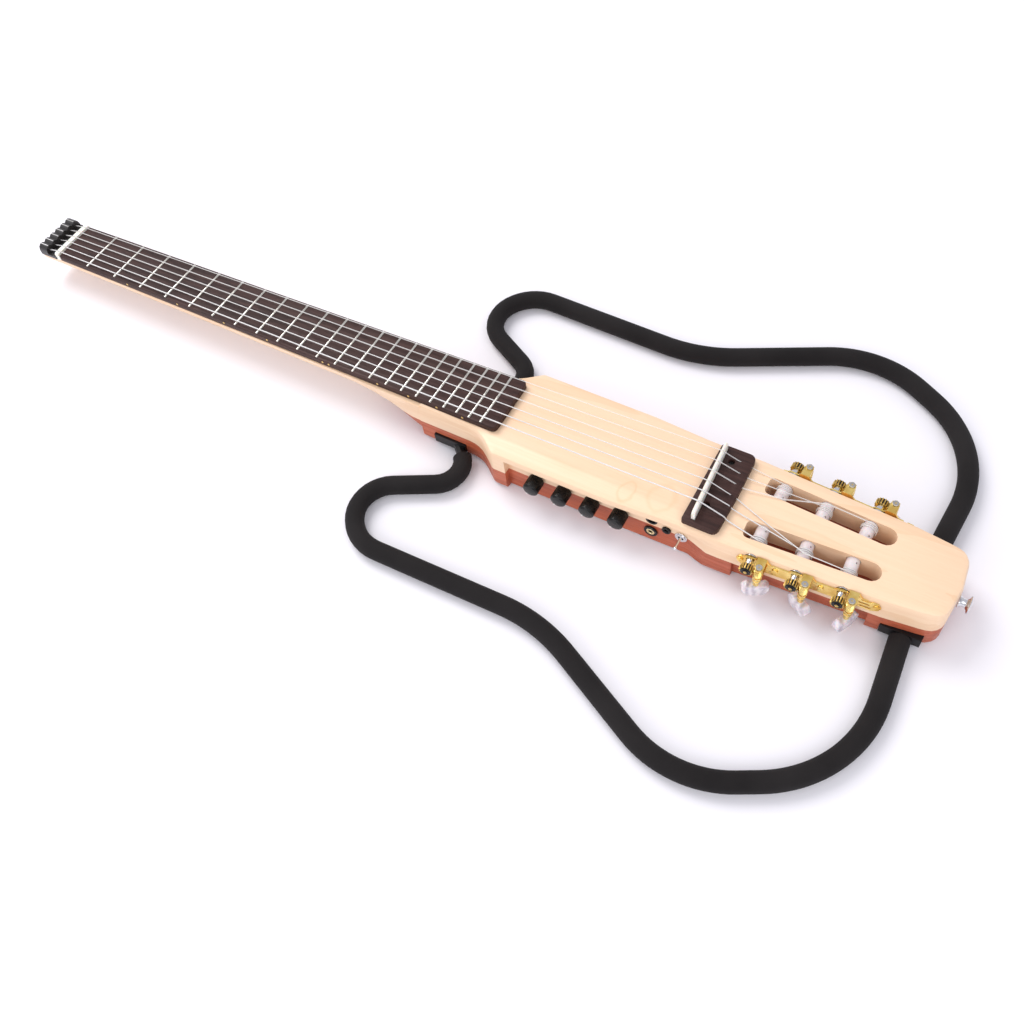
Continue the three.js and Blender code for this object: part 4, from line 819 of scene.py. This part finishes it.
# String rollers
# Each string winds on a white plastic sleeve over a steel axle, which runs in bores through the walls
# of the slot; the wheel outside the wall is screwed on the axle's end.
def outward_turn(side):
    """The turn that points a turned piece straight out of a side of the tail."""
    out = Vector((math.sin(facet_turn), side * math.cos(facet_turn), 0.0))
    return out.to_track_quat("Z", "Y").to_euler()


roller_white = finish_named("roller_white", (0.86, 0.80, 0.79), 0.4, Subsurface_Weight=0.15,
                            Subsurface_Scale=0.003)
mottle = pattern_on(roller_white, "Noise", Scale=260.0, Detail=3.0)
colour_by(roller_white, mottle, (0.66, 0.57, 0.57), (0.78, 0.71, 0.71), (0.3, 0.7))
relief_by(roller_white, mottle, 0.08, 0.0001)

chrome = finish_named("chrome", (0.80, 0.80, 0.82), 0.08, 1.0)
wipe = pattern_on(chrome, "Noise", Scale=120.0, Detail=4.0)
colour_by(chrome, wipe, (0.62, 0.62, 0.65), (0.84, 0.84, 0.85))
value_by(chrome, wipe, 0.04, 0.16)

slot_wall, slot_width, blind = 11.8, 15.2, 5.0
sleeve_in, sleeve_out = -(slot_wall + slot_width + blind - 1.0), -(slot_wall - 4.0)
sleeve = spun(((0, sleeve_in), (4.2, sleeve_in), (4.85, sleeve_in + 0.6), (4.85, sleeve_out - 0.6),
               (4.2, sleeve_out), (0, sleeve_out)), 48, 40.0)
axle = spun(((0, sleeve_in - 0.7), (2.4, sleeve_in - 0.7), (2.6, sleeve_in - 0.5), (2.6, sleeve_in - 0.05),
             (4.3, sleeve_in - 0.05), (4.3, sleeve_in + 0.02), (0, sleeve_in + 0.02)), 32)
collar = spun(((0, sleeve_out - 0.05), (4.95, sleeve_out - 0.05), (4.95, -0.4), (3.0, -0.3), (2.9, 0.0),
               (2.9, 6.0), (0, 6.0)), 48, 40.0)
stations = [(f"{side}_{i + 1}", hand, first_roller + i * roller_pitch)
            for side, hand in (("bass", -1), ("treble", 1)) for i in range(3)]
for tag, hand, u in stations:
    body = f"roller_unit_{tag}"
    centre, turn = beside_tail(hand, u, 0.0, roller_height), outward_turn(hand)
    piece = fix_place(copy_of(sleeve, centre, turn))
    cut_bore(piece, 20, 0.0008, 0.014, beside_tail(hand, u, slot_wall + slot_width - 3.4, roller_height),
             (0.0, 0.6, -hand * facet_turn))
    settle(piece, f"roller_sleeve_{tag}", roller_white, body, "roller_plastic", f"string_roller_{tag}")
    settle(copy_of(axle, centre, turn), f"roller_axle_{tag}", chrome, body, "roller_plastic")
    settle(copy_of(collar, centre, turn), f"roller_journal_{tag}", chrome, body, "roller_plastic")
discard(sleeve, axle, collar)


# Tuner plates
# One stamped and gold-plated brass plate a side, pierced and lobed at its tail end, is screwed flat to the
# wall with four screws. Pairs of lugs bent out of it hold the worms.
gold = finish_named("gold", (0.90, 0.62, 0.18), 0.22, 1.0)
wash = pattern_on(gold, "Noise", Scale=90.0, Detail=4.0)
colour_by(gold, wash, (0.76, 0.47, 0.10), (1.0, 0.76, 0.27), (0.3, 0.62))
value_by(gold, wash, 0.12, 0.32)
scroll = pattern_on(gold, "Voronoi", Scale=520.0, feature="SMOOTH_F1")
scroll_line = add_node(gold.node_tree, "ShaderNodeMapRange", From_Min=0.25, From_Max=0.55)
gold.node_tree.links.new(scroll, scroll_line.inputs["Value"])
relief_by(gold, scroll_line.outputs["Result"], 0.3, 0.0002)

plate_screw = spun(((0, 2.6), (1.0, 2.55), (1.9, 2.2), (2.4, 1.7), (2.45, 1.45), (0, 1.45)))
cut_box(plate_screw, (0, 0, 0.0026), (0.0040, 0.0006, 0.0012))
screw_spots = ((15.6, -8.6, 0.4), (41.25, -8.6, 1.2), (73.95, -8.6, 2.5), (112.9, -8.6, 0.9))
piercings = ((105.6, -4.8, 7.6), (104.4, -8.6, 7.6), (105.6, -12.4, 7.6), (115.9, -6.5, 2.2),
             (115.9, -10.7, 2.2))
for side, hand in (("bass", -1), ("treble", 1)):
    plate = solid_from(f"tuner_plate_{side}", "plate")
    for u, z, length in piercings:
        clear_hand()
        bpy.ops.mesh.primitive_cube_add(size=1.0, location=beside_tail(hand, u, 0.0, z),
                                        rotation=(0.0, 0.0, -hand * facet_turn),
                                        scale=(length / 1000.0, 0.006, 0.0013))
        soften(bpy.context.object, 0.0005, 3)
        carve(plate, bpy.context.object)
    soften(plate, 0.00025, 2, 40.0)
    settle(plate, f"gold_plate_{side}", gold, "guitar", "gold", f"tuner_plate_{side}")
    for number, (u, z, slot_turn) in enumerate(screw_spots, 1):
        screw = fix_place(copy_of(plate_screw, (0, 0, 0), (0, 0, slot_turn)))
        screw.location = beside_tail(hand, u, 0.0, z)
        screw.rotation_euler = outward_turn(hand)
        settle(screw, f"plate_screw_{side}_{number}", gold, "guitar", "gold")
discard(plate_screw)


# Gear wheels
# Fourteen straight brass teeth round a dark steel washer and the screw that holds
# the wheel on its axle. A black steel drum inside the teeth darkens the gaps between them as painted shade.
tooth_count = 14
gear_brass = finish_named("gear_brass", (0.50, 0.34, 0.12), 0.3, 1.0)
oil = pattern_on(gear_brass, "Noise", Scale=420.0, Detail=3.0)
colour_by(gear_brass, oil, (0.42, 0.27, 0.07), (0.80, 0.56, 0.18), (0.35, 0.62))

shade_drum = spun(((0, 6.34), (4.5, 6.34), (4.5, 10.86), (0, 10.86)), 56)
washer = spun(((0, 10.9), (2.9, 10.9), (3.6, 10.88), (3.9, 11.05), (3.9, 11.25), (3.6, 11.45), (3.2, 11.5),
               (3.0, 11.4), (2.1, 11.4), (2.0, 11.8), (1.7, 12.05), (0, 12.1)))
cut_box(washer, (0, 0, 0.0121), (0.005, 0.0006, 0.0009))
for tag, hand, u in stations:
    body = f"roller_unit_{tag}"
    centre, turn = beside_tail(hand, u, 0.0, roller_height), outward_turn(hand)
    wheel = solid_from(f"gear_wheel_{tag}", "wheel", 30.0)
    soften(wheel, 0.00012, 1, 30.0)
    settle(wheel, f"gear_teeth_{tag}", gear_brass, body, "dark_gear", f"gear_wheel_{tag}")
    # Painted shade: a black steel drum just above the teeth's roots darkens the gaps between the teeth.
    settle(copy_of(shade_drum, centre, turn), f"gear_shade_drum_{tag}", black_steel, body, "dark_gear")
    settle(copy_of(washer, centre, turn), f"gear_washer_{tag}", black_steel, body, "dark_gear")
discard(shade_drum, washer)


# Worms and buttons
# A single-start brass worm turns in the two lugs, its thread against the wheel. Below the lugs its shank
# is turned with two rings, and carries a pearly button with lobed edges.
worm_pitch = (roller_radius + 0.2 - 0.45) * 2 * math.pi / tooth_count
worm_u, worm_out = 8.4, 8.6
between_lugs = 9.6
button_height = -27.0


def worm_screw():
    """The threaded length: a ridge wound up round the axis, its ends closed."""
    clear_hand()
    turns = between_lugs / worm_pitch - 0.6
    half_length = turns * worm_pitch / 2
    mesh = bpy.data.meshes.new("thread")
    ridge = ((2.5, -0.75), (3.35, -0.22), (3.35, 0.22), (2.5, 0.75))
    mesh.from_pydata([(r / 1000.0, 0.0, (h - half_length) / 1000.0) for r, h in ridge],
                     [(0, 1), (1, 2), (2, 3), (3, 0)], [])
    thread = take_up(placed("thread", mesh))
    wind = thread.modifiers.new("wind", "SCREW")
    wind.angle = turns * 2 * math.pi
    wind.screw_offset = turns * worm_pitch / 1000.0
    wind.steps = wind.render_steps = round(turns * 28)
    wind.use_smooth_shade = False
    bpy.ops.object.modifier_apply(modifier="wind")
    bpy.ops.object.mode_set(mode="EDIT")
    bpy.ops.mesh.select_all(action="SELECT")
    bpy.ops.mesh.remove_doubles(threshold=0.000002)
    bpy.ops.mesh.select_all(action="DESELECT")
    bpy.ops.mesh.select_non_manifold()
    bpy.ops.mesh.edge_face_add()
    bpy.ops.mesh.select_all(action="SELECT")
    bpy.ops.mesh.normals_make_consistent(inside=False)
    bpy.ops.object.mode_set(mode="OBJECT")
    bpy.ops.object.shade_smooth_by_angle(angle=math.radians(35))
    return thread


pearl = finish_named("pearl", (0.80, 0.77, 0.82), 0.22, Subsurface_Weight=0.3, Subsurface_Scale=0.004,
                     Coat_Weight=0.5)
swirl = pattern_on(pearl, "Noise", Scale=170.0, Detail=3.0, Distortion=2.2)
layers = pattern_on(pearl, "Wave", Scale=45.0, Distortion=9.0, Detail=2.0)
pearl_mix = add_node(pearl.node_tree, "ShaderNodeMath", operation="MULTIPLY_ADD")
pearl_mix.inputs[1].default_value = 0.45
pearl.node_tree.links.new(layers, pearl_mix.inputs[0])
pearl.node_tree.links.new(swirl, pearl_mix.inputs[2])
colour_by(pearl, pearl_mix.outputs["Value"], (0.46, 0.41, 0.47), (0.80, 0.74, 0.78), (0.35, 0.95))


def nudge(piece, test, value, size):
    """Moves the chosen vertices and, less and less, those round them."""
    take_up(piece)
    bpy.ops.object.mode_set(mode="EDIT")
    bpy.context.tool_settings.mesh_select_mode = (True, False, False)
    bpy.ops.mesh.select_all(action="DESELECT")
    bpy.ops.object.mode_set(mode="OBJECT")
    for vertex in piece.data.vertices:
        vertex.select = bool(test(vertex.co * 1000.0))
    bpy.ops.object.mode_set(mode="EDIT")
    bpy.ops.transform.translate(value=value, use_proportional_edit=True, proportional_edit_falloff="SMOOTH",
                                proportional_size=size)
    bpy.ops.object.mode_set(mode="OBJECT")


def winged_button():
    """An oval plate with a notch above and a shallow one below, thick and well rounded."""
    clear_hand()
    bpy.ops.mesh.primitive_circle_add(vertices=64, radius=1.0, fill_type="NGON", rotation=(math.pi / 2, 0, 0))
    piece = bpy.context.object
    piece.scale = (0.0100, 0.00825, 1.0)
    fix_place(piece)
    nudge(piece, lambda p: p.z > 7.7, (0.0, 0.0, -0.0034), 0.0052)
    nudge(piece, lambda p: p.z < -8.1, (0.0, 0.0, 0.0010), 0.0040)
    nudge(piece, lambda p: abs(p.x) > 9.7 and p.z < 0.6, (0.0, 0.0, 0.0012), 0.0050)
    bpy.ops.object.mode_set(mode="EDIT")
    bpy.ops.mesh.select_all(action="SELECT")
    bpy.ops.transform.translate(value=(0.0, -0.0034, 0.0))
    bpy.ops.mesh.extrude_region_move(TRANSFORM_OT_translate={"value": (0.0, 0.0068, 0.0)})
    bpy.ops.mesh.select_all(action="SELECT")
    bpy.ops.mesh.normals_make_consistent(inside=False)
    bpy.ops.object.mode_set(mode="OBJECT")
    soften(piece, 0.0026, 5, 60.0)
    bpy.ops.object.shade_smooth()
    return piece


nickel = finish_named("nickel", (0.48, 0.46, 0.43), 0.36, 1.0)
grain = pattern_on(nickel, "Noise", Scale=800.0, Detail=3.0)
colour_by(nickel, grain, (0.36, 0.34, 0.31), (0.60, 0.58, 0.55))

shank = spun(((0, 8.0), (1.7, 8.0), (1.8, 7.85), (1.8, 4.9), (2.6, 4.75), (2.6, -4.75), (1.8, -4.9),
              (1.8, -7.35), (2.9, -7.4), (3.0, -7.55), (3.0, -8.0), (2.3, -8.25), (2.1, -8.7), (2.9, -8.95),
              (3.0, -9.15), (3.0, -9.95), (2.3, -10.2), (2.2, -10.5), (2.2, -16.5), (0, -16.5)), 36)
cap = spun(((0, 7.9), (0.55, 7.9), (0.6, 8.2), (2.1, 8.2), (2.4, 7.95), (2.4, 7.3), (0, 7.3)), 36)
thread = worm_screw()
button = winged_button()
button_turns = (25.0, -35.0, 60.0, 10.0, -50.0, 40.0)
for (tag, hand, u), degrees in zip(stations, button_turns):
    body = f"worm_unit_{tag}"
    centre = beside_tail(hand, u + worm_u, -worm_out, roller_height)
    settle(copy_of(shank, centre), f"worm_shank_{tag}", gold, body, "gold", f"worm_{tag}")
    settle(copy_of(thread, centre), f"worm_thread_{tag}", gold, body, "gold")
    settle(copy_of(cap, centre), f"worm_cap_{tag}", nickel, body, "gold")
    turn = (0.0, 0.0, math.radians(degrees) - hand * facet_turn)
    settle(copy_of(button, beside_tail(hand, u + worm_u, -worm_out, button_height), turn),
           f"pearl_button_{tag}", pearl, body, "pearl", f"tuner_button_{tag}")
discard(shank, cap, thread, button)


# Knobs
# Four turned black knobs on the pots behind the scooped wall, each with a domed cap and a white pointer
# let into its rim.
black_gloss = finish_named("black_gloss", (0.005, 0.0045, 0.0045), 0.24, Coat_Weight=0.12,
                           Specular_IOR_Level=0.22)
touch = pattern_on(black_gloss, "Noise", Scale=240.0, Detail=4.0)
colour_by(black_gloss, touch, (0.004, 0.0038, 0.0038), (0.009, 0.008, 0.008))
value_by(black_gloss, touch, 0.16, 0.38)

white_line = finish_named("white_line", (0.9, 0.9, 0.88), 0.4)
dust = pattern_on(white_line, "Noise", Scale=900.0, Detail=2.0)
colour_by(white_line, dust, (0.78, 0.78, 0.75), (0.95, 0.95, 0.93))

to_near = Vector((0.0, -1.0, 0.0)).to_track_quat("Z", "Y").to_euler()
flute_ring, flute_count = 0.0067, 30
pointer_turn = math.radians(-122.0)
knob_shape = spun(((0, 0.6), (3.9, 0.6), (3.9, 0.0), (6.3, 0.0), (6.5, 0.25), (6.5, 10.6), (6.35, 11.1),
                   (5.9, 11.4), (5.6, 11.5), (5.3, 11.9), (3.6, 12.25), (1.8, 12.37), (0, 12.4)), 72, 40.0)
flutes = []
for step in range(flute_count):
    angle = 2 * math.pi * step / flute_count
    clear_hand()
    bpy.ops.mesh.primitive_cylinder_add(
        vertices=10, radius=0.0005, depth=0.0092, rotation=(0, 0, angle),
        location=(flute_ring * math.cos(angle), flute_ring * math.sin(angle), 0.0058))
    flutes.append(bpy.context.object)
clear_hand()
for flute in flutes:
    flute.select_set(True)
bpy.context.view_layer.objects.active = flutes[0]
bpy.ops.object.join()
carve(knob_shape, bpy.context.object)
bpy.ops.object.shade_smooth_by_angle(angle=math.radians(40))

clear_hand()
bpy.ops.mesh.primitive_cube_add(size=1.0, location=(0.0053, 0, 0.0112), scale=(0.0022, 0.0011, 0.0016))
pointer_shape = fix_place(bpy.context.object)
soften(pointer_shape, 0.00015, 2)
for number in range(1, 5):
    low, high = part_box(f"knob_{number}")
    base = Vector(((low.x + high.x) / 2, high.y, (low.z + high.z) / 2))
    body = f"knob_unit_{number}"
    settle(copy_of(knob_shape, base, to_near), f"knob_cap_{number}", black_gloss, body, "black_plastic",
           f"knob_{number}")
    pointer = copy_of(pointer_shape, base, to_near)
    pointer.data.transform(Matrix.Rotation(pointer_turn, 4, "Z"))
    settle(pointer, f"knob_pointer_{number}", white_line, body, "black_plastic")
discard(knob_shape, pointer_shape)


# Sockets and switch
# A headphone socket with a brass throat in a black ring, a small black aux socket, the output socket
# high under the edge of the top and a mini switch with a plated nut, all fixed through the scooped wall.
brass_throat = finish_named("socket_brass", (0.86, 0.72, 0.42), 0.25, 1.0)
lathe = pattern_on(brass_throat, "Noise", (300.0, 2600.0, 300.0), Scale=1.0, Detail=2.0)
value_by(brass_throat, lathe, 0.15, 0.4)


def near_end(node):
    """The end of a fitting's axis on the near side of the guitar."""
    low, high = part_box(node)
    return Vector(((low.x + high.x) / 2, low.y, (low.z + high.z) / 2))


deep = -12.0
headphone = spun(((2.35, deep), (5.0, deep), (5.0, -1.6), (5.5, -1.6), (5.5, -0.35), (5.15, 0.0), (3.6, 0.0),
                  (3.45, -0.3), (3.45, -0.8), (2.35, -0.8), (2.35, deep)), 64)
headphone_ring = spun(((1.75, -6.0), (2.3, -6.0), (2.3, -0.75), (3.4, -0.75), (3.4, -0.2), (3.1, 0.0),
                       (2.1, 0.0), (1.75, -0.3), (1.75, -6.0)), 48)
aux = spun(((1.75, deep), (3.3, deep), (3.3, -1.6), (3.6, -1.6), (3.6, -0.3), (3.3, 0.0), (2.4, 0.0),
            (2.2, -0.4), (1.75, -0.9), (1.75, deep)), 48)
output = spun(((3.2, -22.0), (4.6, -22.0), (4.6, -1.6), (4.8, -1.6), (4.8, -0.3), (4.5, 0.0), (3.6, 0.0),
               (3.2, -0.4), (3.2, -22.0)), 48)
settle(copy_of(headphone, near_end("headphone_jack"), to_near), "headphone_socket", black_gloss, "guitar",
       "black_plastic", "headphone_jack")
settle(copy_of(headphone_ring, near_end("headphone_jack"), to_near), "headphone_throat", brass_throat,
       "guitar", "black_plastic")
settle(copy_of(aux, near_end("aux_jack"), to_near), "aux_socket", black_gloss, "guitar", "black_plastic",
       "aux_jack")
settle(copy_of(output, near_end("output_jack"), to_near), "output_socket", black_steel, "guitar", "chrome",
       "output_jack")
discard(headphone, headphone_ring, aux, output)

switch_nut = spun(((2.2, deep), (4.0, deep), (4.0, -1.6), (5.0, -1.6), (5.0, -1.0), (4.8, -0.8), (3.9, -0.75),
                   (3.9, -0.1), (3.6, 0.0), (2.7, 0.0), (2.2, -0.4), (2.2, deep)), 48)
for step in range(12):
    angle = math.radians(30.0 * step)
    cut_bore(switch_nut, 10, 0.0007, 0.004, (0.0054 * math.cos(angle), 0.0054 * math.sin(angle), -0.001))
settle(copy_of(switch_nut, near_end("toggle_switch"), to_near), "switch_nut", chrome, "guitar", "chrome",
       "toggle_switch")
lever = spun(((0, 0), (0.8, -0.15), (1.35, -0.7), (1.55, -1.5), (1.3, -2.4), (0.9, -3.4), (0.95, -8.0),
              (1.15, -11.0), (1.7, -12.2), (0, -12.4)), 32, 60.0)
settle(copy_of(lever, near_end("toggle_lever"), to_near), "switch_lever", chrome, "toggle_lever_unit",
       "chrome", "toggle_lever")
discard(switch_nut, lever)


# Strap button
# A chromed button on the tail end, screwed in along the middle line: a waisted neck, a wide head and
# the screw's cross in its middle.
strap_low, strap_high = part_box("strap_button")
strap_root = Vector((strap_low.x, (strap_low.y + strap_high.y) / 2, (strap_low.z + strap_high.z) / 2))
strap_length = (strap_high.x - strap_low.x) * 1000.0
strap_radius = (strap_high.z - strap_low.z) * 500.0
button_shape = spun(((0, 0), (strap_radius * 0.68, 0), (strap_radius * 0.72, 0.4), (strap_radius * 0.62, 1.2),
                     (strap_radius * 0.46, 3.0), (strap_radius * 0.46, strap_length - 3.6),
                     (strap_radius * 0.7, strap_length - 2.4), (strap_radius * 0.96, strap_length - 1.9),
                     (strap_radius, strap_length - 1.4), (strap_radius * 0.96, strap_length - 0.9),
                     (strap_radius * 0.7, strap_length - 0.3), (2.6, strap_length), (2.4, strap_length - 0.5),
                     (1.6, strap_length - 0.1), (0, strap_length)), 64, 50.0)
for turn in (0.3, 0.3 + math.pi / 2):
    cut_box(button_shape, (0, 0, strap_length / 1000.0), (0.0030, 0.0006, 0.0014), (0, 0, turn))
to_tail = Vector((1.0, 0.0, 0.0)).to_track_quat("Z", "Y").to_euler()
settle(copy_of(button_shape, strap_root, to_tail), "strap_peg", chrome, "guitar", "chrome", "strap_button")
discard(button_shape)


# Electronics and plates in the back
# Behind the knobs sits a green circuit board with its four pots, beside it a nine-volt battery, closed by
# a black cover. Two steel plates clamp the tongues of the side frames; all are screwed in flush.
cover_plastic = finish_named("cover_plastic", (0.016, 0.016, 0.016), 0.55)
leather = pattern_on(cover_plastic, "Voronoi", Scale=900.0)
value_by(cover_plastic, leather, 0.42, 0.66)
relief_by(cover_plastic, leather, 0.3, 0.0001)

circuit = finish_named("circuit_board", (0.012, 0.11, 0.045), 0.35)
tree = circuit.node_tree
place = add_node(tree, "ShaderNodeTexCoord")
tracks = add_node(tree, "ShaderNodeTexBrick", Scale=260.0, Color1=(0.010, 0.10, 0.040, 1.0),
                  Color2=(0.014, 0.13, 0.055, 1.0), Mortar=(0.03, 0.22, 0.09, 1.0))
tree.links.new(place.outputs["Object"], tracks.inputs["Vector"])
tree.links.new(tracks.outputs["Color"], shader(circuit).inputs["Base Color"])

cell_wrap = finish_named("battery_wrap", (0.015, 0.015, 0.016), 0.35, 0.2)
band_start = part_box("battery")[1].x - 0.0135
tree = cell_wrap.node_tree
place = add_node(tree, "ShaderNodeTexCoord")
split = add_node(tree, "ShaderNodeSeparateXYZ")
band = add_node(tree, "ShaderNodeMapRange", From_Min=band_start, From_Max=band_start + 0.0005)
tree.links.new(place.outputs["Object"], split.inputs["Vector"])
tree.links.new(split.outputs["X"], band.inputs["Value"])
colour_by(cell_wrap, band.outputs["Result"], (0.015, 0.015, 0.016), (0.52, 0.26, 0.11))

for node, finish in (("preamp_board", circuit), ("truss_rod", black_steel), ("pickup_strip", cover_plastic)):
    nodes[node].material_slots[0].material = finish
cell = solid_from("battery", "battery")
soften(cell, 0.0012, 3)
settle(cell, "nine_volt_cell", cell_wrap, "guitar", "cover_plastic", "battery")

plate_bolt = spun(((0, 0), (2.2, 0), (2.45, 0.12), (2.5, 0.3), (1.2, 1.5), (0, 1.5)), 36)
for turn in (0.0, math.pi / 2):
    cut_box(plate_bolt, (0, 0, 0), (0.0026, 0.0006, 0.0014), (0, 0, turn))


def flush_plate(node, name, finish, slot_name, inset):
    """A back plate with a countersunk screw near each corner."""
    low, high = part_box(node)
    plate = solid_from(node, "plate")
    spots = [(x, y) for x in (low.x + inset, high.x - inset) for y in (low.y + inset, high.y - inset)]
    for x, y in spots:
        clear_hand()
        bpy.ops.mesh.primitive_cone_add(vertices=36, radius1=0.0030, radius2=0.0012, depth=0.0018,
                                        location=(x, y, low.z + 0.0007))
        carve(plate, bpy.context.object)
    soften(plate, 0.0002, 2)
    settle(plate, name, finish, "guitar", slot_name, node)
    for number, (x, y) in enumerate(spots, 1):
        bolt = copy_of(plate_bolt, (x, y, low.z + 0.0002), (0.0, 0.0, 0.5 * number))
        settle(bolt, f"{name}_screw_{number}", black_steel, "guitar", slot_name)


flush_plate("control_cover", "cover_plate", cover_plastic, "cover_plastic", 0.0065)
flush_plate("clamp_plate_heel", "heel_clamp", black_steel, "black_steel", 0.0045)
flush_plate("clamp_plate_tail", "tail_clamp", black_steel, "black_steel", 0.0045)
discard(plate_bolt)
